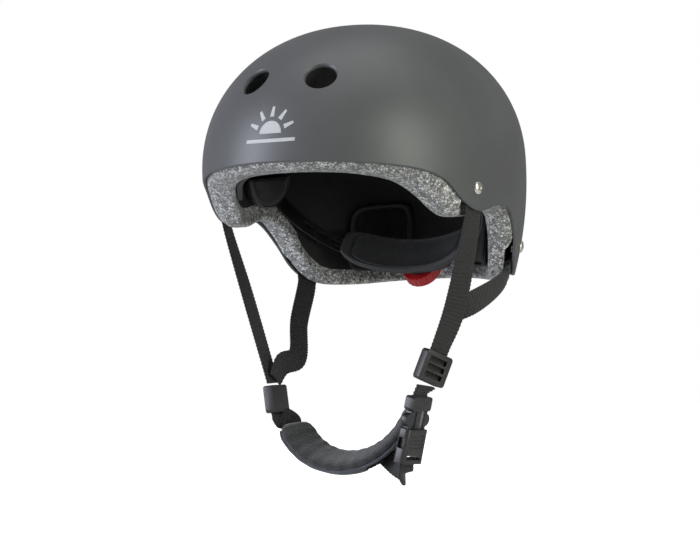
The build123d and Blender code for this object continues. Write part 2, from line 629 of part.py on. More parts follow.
def buckle_prong(side):
    """Sprung side arm of the male half, with a rounded grip above the socket."""
    tongue_height = BUCKLE_THICKNESS - 2 * BUCKLE_WALL - 2 * BUCKLE_CLEARANCE
    outside = BUCKLE_WIDTH / 2 - BUCKLE_WALL - BUCKLE_CLEARANCE
    length = PRONG_REACH + BUCKLE_GRIP - 0.3
    arm = Pos(outside - PRONG_WIDTH / 2, 0, BUCKLE_GRIP - 0.3 - length / 2) * Box(
        PRONG_WIDTH, tongue_height, length)
    grip = Pos(outside - 0.6, 0, BUCKLE_GRIP / 2) * Rot(90, 0, 0) * Cylinder(4.2, tongue_height)
    grip &= block((outside - PRONG_WIDTH, -10, 0.8), (BUCKLE_WIDTH, 10, BUCKLE_GRIP - 0.4))
    arm += grip
    return BUCKLE * (arm if side > 0 else mirror(arm, Plane.YZ))


# The chin arc's own frame: local Z is the arc's axis and points forwards, local Y is up the arc.
CHIN = Plane(origin=CHIN_CENTRE, x_dir=(1, 0, 0),
             z_dir=(0, -cos(radians(CHIN_LEAN)), sin(radians(CHIN_LEAN))))


def chin_sweep(section, start, end):
    """Turn a section, drawn as (outwards, forwards), about the chin arc's axis."""
    tilted = Pos(CHIN_RADIUS, 0) * Rot(0, 0, -CHIN_CUP) * section
    return Rot(0, 0, start) * revolve(Plane.XZ * tilted, Axis.Z, end - start)


def chin_pad():
    """Padded chin rest with a sleeve that rides on the webbing."""
    rest = RectangleRounded(CHIN_PAD_THICKNESS, CHIN_PAD_WIDTH, CHIN_PAD_THICKNESS / 2 - 0.3)
    pad = chin_sweep(rest, CHIN_PAD_START, CHIN_PAD_END)
    face = CHIN_PAD_THICKNESS / 2
    tunnel = WEB_THICKNESS + 2 * CHIN_GAP
    outer = tunnel + CHIN_SLEEVE_WALL
    sleeve = Pos(face + outer / 2 - 1, 0) * Rectangle(outer + 2, WEB_WIDTH + 2 * CHIN_GAP + 2 * CHIN_SLEEVE_WALL)
    pad += chin_sweep(sleeve, CHIN_PAD_START + 8, CHIN_SLEEVE_END)
    hole = Pos(face + tunnel / 2, 0) * Rectangle(tunnel, WEB_WIDTH + 2 * CHIN_GAP)
    pad -= chin_sweep(hole, CHIN_PAD_START - 5, CHIN_PAD_END + 5)
    return CHIN * pad


def chin_station(angle):
    """Ribbon station on the chin webbing at an angle of the arc."""
    turn, cup = radians(angle), radians(CHIN_CUP)
    out = CHIN_PAD_THICKNESS / 2 + CHIN_GAP + WEB_THICKNESS / 2
    outward = CHIN.x_dir * cos(turn) + CHIN.y_dir * sin(turn)
    face = outward * cos(cup) - CHIN.z_dir * sin(cup)
    return CHIN_CENTRE + outward * CHIN_RADIUS + face * out, face


def chin_strap():
    """Webbing from the slider, round under the chin, to the buckle's female half."""
    first, last = CHIN_WEB_START, CHIN_WEB_END
    arc = [chin_station(first + (last - first) * step / CHIN_STEPS) for step in range(CHIN_STEPS + 1)]
    top = SLIDER.origin + SLIDER_AXIS * (SLIDER_SIZE[2] / 2)
    below = SLIDER.origin - SLIDER_AXIS * (SLIDER_SIZE[2] / 2 + 2.5)
    start = [(top, SLIDER_FACE), (below, SLIDER_FACE)]
    depths = (BUCKLE_FEMALE + 7, BUCKLE_FEMALE + 1.5, BUCKLE_FEMALE - 3.6)
    end = [(BUCKLE.origin - BUCKLE_AXIS * depth, BUCKLE_FACE) for depth in depths]
    return ribbon(start + arc + end)


NODES = {
    "outer_shell": outer_shell,
    "foam_crown_front": lambda: foam_part((-FAR, -FAR, FOAM_LEVEL), (FAR, 0, FAR)),
    "foam_crown_rear": lambda: foam_part((-FAR, 0, FOAM_LEVEL), (FAR, FAR, FAR)),
    "foam_front": lambda: foam_part((-FAR, -FAR, -FAR), (FAR, FOAM_SIDE_FRONT, FOAM_LEVEL)),
    "foam_left": lambda: foam_part((0, FOAM_SIDE_FRONT, -FAR), (FAR, FOAM_SIDE_BACK, FOAM_LEVEL)),
    "foam_right": lambda: foam_part((-FAR, FOAM_SIDE_FRONT, -FAR), (0, FOAM_SIDE_BACK, FOAM_LEVEL)),
    "foam_rear": lambda: foam_part((-FAR, FOAM_SIDE_BACK, -FAR), (FAR, FAR, FOAM_LEVEL)),
    "front_rivets": lambda: rivets(RIVETS[:2]), "rear_rivets": lambda: rivets(RIVETS[2:]),
    "rivet_washers": rivet_washers, "hook_patches": hook_patches,
    "brow_pad": brow_pad, "crown_pad": crown_pad,
    "rear_pad_left": lambda: rear_pad(1), "rear_pad_right": lambda: rear_pad(-1),
    "side_pad_left": lambda: temple(1, SIDE_PAD_BACKING, SIDE_PAD_BACKING + PAD_THICKNESS, 0),
    "side_pad_right": lambda: temple(-1, SIDE_PAD_BACKING, SIDE_PAD_BACKING + PAD_THICKNESS, 0),
    "fit_anchor_left": lambda: fit_anchor(1), "fit_anchor_right": lambda: fit_anchor(-1),
    "anchor_studs": anchor_studs,
    "fit_belt_left": lambda: fit_belt(1), "fit_belt_right": lambda: fit_belt(-1),
    "dial_housing": dial_housing, "nape_pad": nape_pad, "fit_dial": fit_dial,
    "dial_pinion": dial_pinion, "dial_screw": dial_screw,
    "front_strap_left": front_strap_left, "rear_strap_left": rear_strap_left,
    "front_strap_right": front_strap_right, "rear_strap_right": rear_strap_right,
    "tri_glide_left": tri_glide_left, "strap_slider_right": strap_slider_right,
    "buckle_loop_left": buckle_loop_left, "buckle_female": buckle_female, "buckle_male": buckle_male,
    "buckle_prong_left": lambda: buckle_prong(1), "buckle_prong_right": lambda: buckle_prong(-1),
    "chin_strap": chin_strap, "chin_pad": chin_pad,
}

os.makedirs("parts", exist_ok=True)
for name, make in NODES.items():
    export_step(make(), f"parts/{name}.step")
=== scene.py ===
import bmesh
import bpy
from mathutils import Matrix, Vector
import numpy as np


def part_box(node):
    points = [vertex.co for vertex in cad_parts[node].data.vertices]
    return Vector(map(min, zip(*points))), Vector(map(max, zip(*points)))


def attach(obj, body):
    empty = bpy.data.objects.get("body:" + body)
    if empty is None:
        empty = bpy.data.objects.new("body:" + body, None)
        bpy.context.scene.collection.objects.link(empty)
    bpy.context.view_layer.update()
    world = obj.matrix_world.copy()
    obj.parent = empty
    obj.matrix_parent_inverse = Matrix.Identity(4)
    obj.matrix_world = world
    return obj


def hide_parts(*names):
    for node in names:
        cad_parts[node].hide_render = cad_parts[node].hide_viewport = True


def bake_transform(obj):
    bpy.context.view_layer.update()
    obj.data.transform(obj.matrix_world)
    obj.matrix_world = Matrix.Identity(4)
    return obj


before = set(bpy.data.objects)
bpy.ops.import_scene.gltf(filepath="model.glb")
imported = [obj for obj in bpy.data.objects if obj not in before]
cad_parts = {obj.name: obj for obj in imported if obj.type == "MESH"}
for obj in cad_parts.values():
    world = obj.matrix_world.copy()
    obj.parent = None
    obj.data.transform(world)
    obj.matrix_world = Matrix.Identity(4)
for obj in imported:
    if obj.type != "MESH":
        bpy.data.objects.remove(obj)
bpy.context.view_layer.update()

# Outer shell.  A thin ABS shell, vacuum formed over the foam and sprayed matte charcoal, with the
# round vents drilled and their edges rolled inwards.  Its lower edge is trimmed and rounded by hand.
shell_low, shell_high = (np.array(corner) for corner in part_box("outer_shell"))
HALF_WIDTH, REAR_REACH, CROWN = shell_high
FRONT_REACH = 0.115
CROWN_POWER = 2.106
LOWER_TAPER = 0.20
SHELL_WALL = 0.0025
AROUND = 480
TURNS = np.arange(AROUND) * 2 * np.pi / AROUND
SHELL_RIM = [(-116, 10.8), (-99, 7.3), (-82, 3.4), (-66, -1.3), (-52, -8.2), (-40, -20.2), (-31, -26.8),
             (-22, -29.8), (-9, -28.2), (4, -28), (15, -30.6), (24, -37), (33, -50), (40, -65),
             (49, -74), (66, -77.6), (90, -78), (132, -78)]
VENT_RADIUS = 0.010
VENTS = ([(side * 24, -85) for side in (1, -1)] + [(side * 22, 26) for side in (1, -1)]
         + [(left, 74 - abs(left) / 8) for left in (-40, 0, 40)]
         + [(side * left, back) for left, back in ((19, 112), (57, 91)) for side in (1, -1)])


def share(height, inset=0.0):
    """Section size at a height: a superellipse above the widest level, a slow taper below it."""
    up = np.clip(height / (CROWN - inset), 0, 1)
    return np.where(height > 0, (1 - up ** CROWN_POWER) ** (1 / CROWN_POWER),
                    1 - LOWER_TAPER * (height / 0.1) ** 2)


def reach(back, inset):
    """Half length of the widest section: one ellipse in front and a longer one behind."""
    return np.where(np.asarray(back) < 0, FRONT_REACH, REAR_REACH) - inset


def dome(turn, height, inset):
    """Point on the helmet's surface moved inwards: an ellipse of that height's share, turn 0 in front."""
    size = share(height, inset)
    long = reach(-np.cos(turn), inset)
    return np.stack(np.broadcast_arrays((HALF_WIDTH - inset) * size * np.sin(turn),
                                        -long * size * np.cos(turn), height), -1)


def dome_normal(points, inset):
    """Outward normal: the gradient of (x/a)^2 + (y/b)^2 - share(z)^2."""
    step = 1e-5
    size = share(points[..., 2], inset)
    slope = (share(points[..., 2] + step, inset) - share(points[..., 2] - step, inset)) / (2 * step)
    normal = np.stack([points[..., 0] / (HALF_WIDTH - inset) ** 2,
                       points[..., 1] / reach(points[..., 1], inset) ** 2, -size * slope], -1)
    return normal / np.linalg.norm(normal, axis=-1, keepdims=True)


def smooth_line(points, samples=24):
    """Cubic through points: each knot's slope comes from its neighbours and the root of their distance."""
    knots = np.asarray(points, float)
    step = np.sqrt(np.linalg.norm(np.diff(knots[:, :3], axis=0), axis=1))[:, None]
    rate = np.diff(knots, axis=0) / step
    middle = rate[:-1] + rate[1:] - (knots[2:] - knots[:-2]) / (step[:-1] + step[1:])
    slope = np.concatenate([rate[:1], middle, rate[-1:]])
    t = np.linspace(0, 1, samples, endpoint=False)[None, :, None]
    first, second, width = knots[:-1, None], knots[1:, None], step[:, None]
    curve = ((2 * t ** 3 - 3 * t ** 2 + 1) * first + (3 * t ** 2 - 2 * t ** 3) * second
             + (t ** 3 - 2 * t ** 2 + t) * width * slope[:-1, None] + (t ** 3 - t ** 2) * width * slope[1:, None])
    return np.concatenate([curve.reshape(-1, knots.shape[1]), knots[-1:]])


def rim_height(rim, inset, turn=TURNS):
    """Height where a rim drawn from the side crosses each turn, found by repeated substitution."""
    line = smooth_line(rim) / 1000
    height = np.zeros_like(turn)
    for _ in range(60):
        height = 0.5 * height + 0.5 * np.interp(dome(turn, height, inset)[..., 1], line[:, 0], line[:, 1])
    return height


def linear(colour):
    """An sRGB hex colour as the linear colour that a shader takes."""
    value = np.array([int(colour[i:i + 2], 16) for i in (0, 2, 4)]) / 255
    value = np.where(value <= 0.04045, value / 12.92, ((value + 0.055) / 1.055) ** 2.4)
    return (*value, 1.0)


def link_object(name, mesh):
    """Puts a mesh in the scene as a piece."""
    piece = bpy.data.objects.new(name, mesh)
    bpy.context.scene.collection.objects.link(piece)
    return piece


def skin(name, rings, uv=None):
    """Closed surface through a stack of rings, each end closed by a fan from the ring's middle."""
    stations, around = rings.shape[:2]
    points = np.concatenate([rings.reshape(-1, 3), rings[:1].mean(1), rings[-1:].mean(1)])
    index = np.arange(stations * around).reshape(stations, around)
    after = np.roll(index, -1, 1)
    quads = np.stack([index[:-1], after[:-1], after[1:], index[1:]], -1).reshape(-1, 4)
    ends = [np.stack([after[0], index[0], np.full(around, stations * around)], -1),
            np.stack([index[-1], after[-1], np.full(around, stations * around + 1)], -1)]
    fans = np.concatenate(ends)
    corners = points[np.concatenate([quads[:, [0, 1, 2]], quads[:, [0, 2, 3]], fans])]
    volume = np.einsum("ij,ij->", corners[:, 0], np.cross(corners[:, 1], corners[:, 2]))
    if volume < 0:
        quads, fans = quads[:, ::-1], fans[:, ::-1]
    mesh = bpy.data.meshes.new(name)
    mesh.from_pydata(points, [], quads.tolist() + fans.tolist())
    mesh.shade_smooth()
    if uv is not None:
        middle = np.concatenate([uv.reshape(-1, 2), uv[:1].mean(1), uv[-1:].mean(1)])
        corner = np.zeros(len(mesh.loops), int)
        mesh.loops.foreach_get("vertex_index", corner)
        mesh.uv_layers.new(name="UVMap").data.foreach_set("uv", middle[corner].ravel())
    return link_object(name, mesh)


def surface_point(left, back):
    """Point and outward normal on the crown above a place seen from above, in millimetres."""
    x, y = left / 1000, back / 1000
    size = np.hypot(x / HALF_WIDTH, y / reach(y, 0))
    point = np.array([x, y, CROWN * (1 - size ** CROWN_POWER) ** (1 / CROWN_POWER)])
    return point, dome_normal(point, 0)


def from_front(left, height, inset):
    """Point on the brow seen from the front."""
    depth = np.sqrt(share(height, inset) ** 2 - (left / (HALF_WIDTH - inset)) ** 2)
    return np.stack(np.broadcast_arrays(left, -(FRONT_REACH - inset) * depth, height), -1)


def from_behind(left, height, inset):
    """Point on the back of the head seen from behind."""
    depth = np.sqrt(share(height, inset) ** 2 - (left / (HALF_WIDTH - inset)) ** 2)
    return np.stack(np.broadcast_arrays(left, (REAR_REACH - inset) * depth, height), -1)


def from_side(side, back, height, inset):
    """Point on the wall seen from the side."""
    width = np.sqrt(share(height, inset) ** 2 - (back / reach(back, inset)) ** 2)
    return np.stack(np.broadcast_arrays(side * (HALF_WIDTH - inset) * width, back, height), -1)


def from_above(left, back, inset):
    """Point on the crown seen from above."""
    size = np.hypot(left / (HALF_WIDTH - inset), back / reach(back, inset))
    height = (CROWN - inset) * (1 - size ** CROWN_POWER) ** (1 / CROWN_POWER)
    return np.stack(np.broadcast_arrays(left, back, height), -1)


def turned_rings(point, axis, profile, around=48):
    """Rings of a profile of (height, radius) turned about an axis through a point."""
    side = np.cross(axis, [0.3, 1, 0.2])
    side /= np.linalg.norm(side)
    other = np.cross(axis, side)
    angle = np.arange(around) * 2 * np.pi / around
    circle = np.cos(angle)[:, None] * side + np.sin(angle)[:, None] * other
    height, radius = np.array(profile, float).T
    return point + height[:, None, None] * axis + radius[:, None, None] * circle


def cut(piece, cutters):
    """Takes the cutters away from a piece and applies the result."""
    bpy.ops.object.select_all(action="DESELECT")
    for cutter in cutters:
        cutter.select_set(True)
    bpy.context.view_layer.objects.active = cutters[0]
    bpy.ops.object.join()
    modifier = piece.modifiers.new("cut", "BOOLEAN")
    modifier.operation, modifier.solver, modifier.object = "DIFFERENCE", "EXACT", cutters[0]
    shape = bpy.data.meshes.new_from_object(piece.evaluated_get(bpy.context.evaluated_depsgraph_get()))
    piece.modifiers.clear()
    piece.data = shape
    bpy.data.objects.remove(cutters[0])


def dome_shading(piece, outer, inner):
    """Gives the corners of the dome's own faces the exact normal, and returns which face lies where."""
    mesh = piece.data
    points = np.zeros(len(mesh.vertices) * 3)
    mesh.vertices.foreach_get("co", points)
    points = points.reshape(-1, 3)
    corner = np.zeros(len(mesh.loops), int)
    mesh.loops.foreach_get("vertex_index", corner)
    sizes = np.zeros(len(mesh.polygons), int)
    mesh.polygons.foreach_get("loop_total", sizes)
    face = np.repeat(np.arange(len(sizes)), sizes)
    normals = np.zeros((len(corner), 3))
    place = np.zeros(len(sizes), int)
    for mark, inset, sign in ((1, outer, 1), (2, inner, -1)):
        across = ((points[:, 0] / (HALF_WIDTH - inset)) ** 2
                  + (points[:, 1] / reach(points[:, 1], inset)) ** 2 - share(points[:, 2], inset) ** 2)
        close = np.abs(across) * HALF_WIDTH / 2 < 6e-5
        whole = np.bincount(face, close[corner], len(sizes)) == sizes
        place[whole] = mark
        here = whole[face]
        normals[here] = sign * dome_normal(points[corner[here]], inset)
    mesh.shade_smooth()
    mesh.set_sharp_from_angle(angle=np.radians(40))
    mesh.normals_split_custom_set(normals.tolist())
    return place, points, corner, face


shell_rim = rim_height(SHELL_RIM, 0) + SHELL_WALL / 2
ROWS = 66
lift = np.sin(np.linspace(1, 0, ROWS + 1)[1:] * np.pi / 2)[:, None]
outer_rows = dome(TURNS, shell_rim + (CROWN - shell_rim) * lift, 0)
inner_rows = dome(TURNS, shell_rim + (CROWN - SHELL_WALL - shell_rim) * lift, SHELL_WALL)
middle = (outer_rows[-1] + inner_rows[-1]) / 2
out = outer_rows[-1] - middle
along = np.roll(middle, -1, 0) - np.roll(middle, 1, 0)
down = np.cross(along, out)
down *= -np.sign(down[:, 2].sum()) * np.linalg.norm(out, axis=1, keepdims=True) / np.linalg.norm(
    down, axis=1, keepdims=True)
bend = np.linspace(0, np.pi, 9)[1:-1, None, None]
edge_rows = middle + out * np.cos(bend) + down * np.sin(bend)
outer_shell = skin("outer_shell_painted", np.concatenate([outer_rows, edge_rows, inner_rows[::-1]]))
VENT_EDGE = [(-14, 10), (-2.2, 10), (-1.5, 10.15), (-0.9, 10.6), (-0.45, 11.2), (-0.1, 12.1), (0.4, 13.4),
             (1.2, 15.2)]
cutters = []
for left, back in VENTS:
    point, axis = surface_point(left, back)
    cutters.append(skin("vent_cutter", turned_rings(point, axis, np.array(VENT_EDGE) / 1000, 64)))
cut(outer_shell, cutters)
dome_shading(outer_shell, 0, SHELL_WALL)


def new_material(name):
    """Empty node material with its Principled shader."""
    material = bpy.data.materials.new(name)
    material.use_nodes = True
    return material, material.node_tree.nodes["Principled BSDF"]


def add(material, kind, settings=(), inputs=(), links=()):
    """Adds one node, sets its properties and inputs and links other nodes' outputs to it."""
    node = material.node_tree.nodes.new(kind)
    for name, value in dict(settings).items():
        setattr(node, name, value)
    for name, value in dict(inputs).items():
        node.inputs[name].default_value = value
    for name, output in dict(links).items():
        material.node_tree.links.new(output, node.inputs[name])
    return node


def ramp(material, factor, stops):
    """Colour ramp with hex colours at places from 0 to 1."""
    node = add(material, "ShaderNodeValToRGB", links={"Fac": factor})
    while len(node.color_ramp.elements) < len(stops):
        node.color_ramp.elements.new(0.5)
    for element, (place, colour) in zip(node.color_ramp.elements, stops):
        element.position, element.color = place, linear(colour)
    return node.outputs["Color"]


# Matte polyurethane paint over ABS: a soft wide sheen, a little orange peel and fine grit.
paint, shader = new_material("matte_polyurethane_paint")
place = add(paint, "ShaderNodeTexCoord").outputs["Object"]
cloud = add(paint, "ShaderNodeTexNoise", inputs={"Scale": 22, "Detail": 3}, links={"Vector": place})
paint.node_tree.links.new(ramp(paint, cloud.outputs["Fac"], [(0.3, "48494B"), (0.7, "4F5052")]),
                          shader.inputs["Base Color"])
shader.inputs["Roughness"].default_value = 0.46
shader.inputs["IOR"].default_value = 1.5
GRIT = 1 / 0.0007
grit = add(paint, "ShaderNodeTexNoise", inputs={"Scale": GRIT, "Detail": 2}, links={"Vector": place})
peel = add(paint, "ShaderNodeBump", inputs={"Strength": 0.06, "Distance": 0.0002},
           links={"Height": grit.outputs["Fac"]})
paint.node_tree.links.new(peel.outputs["Normal"], shader.inputs["Normal"])
outer_shell.data.materials.append(paint)
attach(outer_shell, "helmet")
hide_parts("outer_shell")

# Foam liner.  Moulded polystyrene beads, silver-grey where the edge shows; inside, above the edge, the beads are
# painted near-black as shade.
# Its lower edge rolls outwards under the shell; bores follow the vents and channels hold the straps.
FOAM_RIM = [(-116, 6.6), (-99, 3.8), (-82, -0.4), (-66, -6.9), (-53, -17.2), (-44, -26), (-36, -31),
            (-22, -32.2), (-6, -30), (8, -30.4), (18, -35), (28, -48), (36, -65), (46, -75.6),
            (66, -79.8), (90, -80.2), (132, -80.2)]
FOAM_WALL = 0.018
FOAM_INNER = SHELL_WALL + FOAM_WALL
EDGE_ROLL = 0.009
INNER_ROLL = 0.003
across = np.concatenate([EDGE_ROLL * (1 - np.cos(np.linspace(0, np.pi / 2, 12))),
                         np.linspace(EDGE_ROLL, FOAM_WALL - INNER_ROLL, 6)[1:],
                         FOAM_WALL - INNER_ROLL * (1 - np.sin(np.linspace(0, np.pi / 2, 7)[1:]))])
rise = np.where(across < EDGE_ROLL, EDGE_ROLL - np.sqrt(np.maximum(0, EDGE_ROLL ** 2 - (EDGE_ROLL - across) ** 2)), 0)
tail = np.maximum(0, across - FOAM_WALL + INNER_ROLL)
rise = rise + INNER_ROLL - np.sqrt(np.maximum(0, INNER_ROLL ** 2 - tail ** 2))
under = np.stack([dome(TURNS, rim_height(FOAM_RIM, SHELL_WALL + part) + lifted, SHELL_WALL + part)
                  for part, lifted in zip(across, rise)])
outer_rows = dome(TURNS, under[0, :, 2] + (CROWN - SHELL_WALL - under[0, :, 2]) * lift[:-1], SHELL_WALL)
inner_rows = dome(TURNS, under[-1, :, 2] + (CROWN - FOAM_INNER - under[-1, :, 2]) * lift[:-1], FOAM_INNER)
foam = skin("foam_liner_beads", np.concatenate([outer_rows, under, inner_rows[::-1]]))
cutters = []
for left, back in VENTS:
    point, axis = surface_point(left, back)
    cutters.append(skin("bore_cutter", turned_rings(point, axis, [(-0.06, 0.011), (0.02, 0.011)], 40)))


def channel(side, back, top, width, depth=0.0073):
    """Box that follows the wall from a height down past the rim, as a strap's channel in the foam."""
    heights = np.linspace(top, -0.09, 12)
    ring = []
    for inset in (-0.01, depth):
        row = []
        for shift in (-width / 2, width / 2):
            size = share(heights, max(inset, 0))
            y = back + shift
            x = side * (HALF_WIDTH - inset) * np.sqrt(size ** 2 - (y / reach(y, inset)) ** 2)
            row.append(np.stack([x, np.full_like(heights, y), heights], -1))
        ring += row if inset < 0 else row[::-1]
    return skin("channel_cutter", np.stack(ring, 1))


FRONT_STRAP_BACK, REAR_STRAP_BACK = -0.026, 0.050
for side in (1, -1):
    cutters.append(channel(side, FRONT_STRAP_BACK, -0.0045, 0.024))
    cutters.append(channel(side, REAR_STRAP_BACK, -0.0475, 0.034))
cut(foam, cutters)
place_of, points, corner, face = dome_shading(foam, SHELL_WALL, FOAM_INNER)
# Faces that reach more than 14 mm above the lower edge get the second material: painted shade, near-black beads where
# the inside lies in shadow.
edge_height = np.interp(points[:, 1], *(smooth_line(FOAM_RIM).T / 1000))
painted_shade_zone = points[:, 2] - edge_height > 0.014
inside = np.bincount(face, painted_shade_zone[corner], len(place_of)) > 0
foam.data.polygons.foreach_set("material_index", inside.astype(int))

# Expanded polystyrene, bead moulded: 1.5 to 2 mm beads pressed flat, each with its own grey.
beads, shader = new_material("moulded_polystyrene_beads")
BEAD = 1 / 0.0016
place = add(beads, "ShaderNodeTexCoord").outputs["Object"]
cell = add(beads, "ShaderNodeTexVoronoi", inputs={"Scale": BEAD}, links={"Vector": place})
seam = add(beads, "ShaderNodeTexVoronoi", {"feature": "DISTANCE_TO_EDGE"}, {"Scale": BEAD}, {"Vector": place})
grey = add(beads, "ShaderNodeSeparateColor", links={"Color": cell.outputs["Color"]})
tone = ramp(beads, grey.outputs["Red"], [(0.0, "6E6E6E"), (0.45, "9C9C9B"), (1.0, "DADAD8")])
line = ramp(beads, seam.outputs["Distance"], [(0.02, "4A4A4A"), (0.16, "FFFFFF")])
mixed = add(beads, "ShaderNodeMix", {"data_type": "RGBA", "blend_type": "MULTIPLY"})
mixed.inputs["Factor"].default_value = 0.85
beads.node_tree.links.new(tone, mixed.inputs[6])
beads.node_tree.links.new(line, mixed.inputs[7])
beads.node_tree.links.new(mixed.outputs[2], shader.inputs["Base Color"])
shader.inputs["Roughness"].default_value = 0.42
dent = add(beads, "ShaderNodeBump", inputs={"Strength": 0.5, "Distance": 0.0006},
           links={"Height": seam.outputs["Distance"]})
beads.node_tree.links.new(dent.outputs["Normal"], shader.inputs["Normal"])
# Copy of the bead material with near-black, rougher beads: painted shade for the inside of the liner.
shade_painted_beads = beads.copy()
shade_painted_beads.name = "polystyrene_painted_shade"
stops = [node for node in shade_painted_beads.node_tree.nodes if node.type == "VALTORGB"]
for element in stops[0].color_ramp.elements:
    element.color = linear("141415")
shade_painted_beads.node_tree.nodes["Principled BSDF"].inputs["Roughness"].default_value = 0.7
foam.data.materials.append(beads)
foam.data.materials.append(shade_painted_beads)
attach(foam, "helmet")
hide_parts("foam_crown_front", "foam_crown_rear", "foam_front", "foam_left", "foam_right", "foam_rear")

# Brow print.  A pale screen print on the brow: a half disc with five rays over a line.  It is ink,
# 0.1 mm thick, laid straight on the paint.
PRINT_BASE = 0.0285
PRINT_RADIUS = 0.0078
INK = 0.00012


def pillow(name, place, outline, back, front, profile, rows=24, spread=None):
    """Closed patch on the dome: rings run from the middle of its back, over its edge, to the middle
    of its front.  The inset at a ring is back + (front - back) * profile(ring size)."""
    border = np.asarray(outline, float)
    middle = border.mean(0) if spread is None else np.asarray(spread, float)
    size = np.sin(np.linspace(0.03, 1, rows) * np.pi / 2)
    rings = []
    for part, depth in [(part, 0 * part) for part in size] + [(part, profile(part)) for part in size[::-1]]:
        spot = middle + part * (border - middle)
        rings.append(place(spot[:, 0], spot[:, 1], back + (front - back) * depth))
    return skin(name, np.stack(rings))


def join(name, pieces):
    """Joins several pieces into one."""
    bpy.ops.object.select_all(action="DESELECT")
    for piece in pieces:
        piece.select_set(True)
    bpy.context.view_layer.objects.active = pieces[0]
    bpy.ops.object.join()
    pieces[0].name = name
    return pieces[0]


def finish_piece(piece, material, body, slot, *nodes):
    """Gives a piece its material, the body that it rides on and the CAD nodes it stands for; the slot is not used."""
    piece.data.materials.append(material)
    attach(piece, body)
    if nodes:
        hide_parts(*nodes)
    return piece


def bar_outline(low, high, width_low, width_high):
    """Long flat bar between two points with its own width at each end, its sides divided."""
    low, high = np.array(low), np.array(high)
    along = (high - low) / np.linalg.norm(high - low)
    side = np.array([-along[1], along[0]])
    corners = [low - side * width_low / 2, high - side * width_high / 2, high + side * width_high / 2,
               low + side * width_low / 2]
    return np.concatenate([np.linspace(a, b, 9)[:-1] for a, b in zip(corners, corners[1:] + corners[:1])])


half_turn = np.linspace(0, np.pi, 40)
disc = np.stack([PRINT_RADIUS * np.cos(half_turn), PRINT_BASE + PRINT_RADIUS * np.sin(half_turn)], 1)
disc = np.concatenate([disc, np.linspace(disc[-1], disc[0], 12)[1:-1]])
shapes = [disc, bar_outline((-0.0175, 0.0242), (0.0175, 0.0242), 0.0022, 0.0022)]
for angle in np.radians([22, 56, 90, 124, 158]):
    ray_line = np.array([np.cos(angle), np.sin(angle)])
    foot = np.array([0, PRINT_BASE])
    shapes.append(bar_outline(foot + 0.0102 * ray_line, foot + 0.0165 * ray_line, 0.0030, 0.0016))
prints = [pillow("print", from_front, shape, 0.0001, -INK, lambda part: 1.0, 4) for shape in shapes]
ink, shader = new_material("pale_screen_ink")
place = add(ink, "ShaderNodeTexCoord").outputs["Object"]
speck = add(ink, "ShaderNodeTexNoise", inputs={"Scale": 1 / 0.0006, "Detail": 2}, links={"Vector": place})
ink.node_tree.links.new(ramp(ink, speck.outputs["Fac"], [(0.3, "A9AAAD"), (0.7, "BDBEC0")]),
                        shader.inputs["Base Color"])
shader.inputs["Roughness"].default_value = 0.6
finish_piece(join("brow_print", prints), ink, "helmet", "shell")

# Rivets.  Plated steel domes that pass the shell and the strap, peened over a washer inside.
RIVET_PROFILE = [(-6.8, 1.7), (-0.4, 1.7), (-0.2, 3.9), (0.15, 4.1), (0.5, 4.1), (0.8, 3.95), (1.35, 3.35),
                 (1.85, 2.3), (2.1, 1.2), (2.16, 0.9), (1.95, 0.7), (1.9, 0.2)]
FRONT_RIVET, REAR_RIVET = (-0.026, -0.015), (0.055, -0.058)
chrome, shader = new_material("nickel_plated_steel")
shader.inputs["Base Color"].default_value = linear("D9D6CC")
shader.inputs["Metallic"].default_value = 1.0
place = add(chrome, "ShaderNodeTexCoord").outputs["Object"]
wear = add(chrome, "ShaderNodeTexNoise", inputs={"Scale": 1 / 0.0008, "Detail": 3}, links={"Vector": place})
rough = add(chrome, "ShaderNodeMapRange", inputs={"To Min": 0.14, "To Max": 0.34},
            links={"Value": wear.outputs["Fac"]})
chrome.node_tree.links.new(rough.outputs["Result"], shader.inputs["Roughness"])
for name, (back, height) in (("front_rivets", FRONT_RIVET), ("rear_rivets", REAR_RIVET)):
    pair = []
    for side in (1, -1):
        point = from_side(side, back, height, 0.0)
        pair.append(skin("rivet", turned_rings(point, dome_normal(point, 0), np.array(RIVET_PROFILE) / 1000)))
    finish_piece(join(name + "_plated", pair), chrome, "helmet", "rivet", name)
steel = chrome.copy()
steel.name = "plain_washer_steel"
steel.node_tree.nodes["Principled BSDF"].inputs["Base Color"].default_value = linear("8C8A86")
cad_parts["rivet_washers"].data.materials.clear()
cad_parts["rivet_washers"].data.materials.append(steel)

# Comfort pads.  Foam wafers in brushed black knit with a bound edge, held on hook discs: one round
# the brow, a mesh one under the crown, two beside the cradle and a half-round one on each temple.
PAD_BACK = 0.0217
PAD_THICKNESS = 0.0055
BINDING = 0.13
knit, shader = new_material("brushed_black_knit")
LOOP = 0.0011
place = add(knit, "ShaderNodeTexCoord").outputs["Object"]
loops = add(knit, "ShaderNodeTexVoronoi", inputs={"Scale": 1 / LOOP, "Randomness": 0.6}, links={"Vector": place})
fuzz = add(knit, "ShaderNodeTexNoise", inputs={"Scale": 1 / 0.004, "Detail": 4}, links={"Vector": place})
knit.node_tree.links.new(ramp(knit, fuzz.outputs["Fac"], [(0.3, "0F0F10"), (0.75, "1F1F21")]),
                         shader.inputs["Base Color"])
shader.inputs["Roughness"].default_value = 0.95
shader.inputs["Specular IOR Level"].default_value = 0.2
shader.inputs["Sheen Weight"].default_value = 0.25
shader.inputs["Sheen Roughness"].default_value = 0.5
weave = add(knit, "ShaderNodeBump", {"invert": True}, {"Strength": 0.5, "Distance": 0.0004},
            {"Height": loops.outputs["Distance"]})
knit.node_tree.links.new(weave.outputs["Normal"], shader.inputs["Normal"])
binding, shader = new_material("folded_binding_tape")
place = add(binding, "ShaderNodeTexCoord").outputs["Object"]
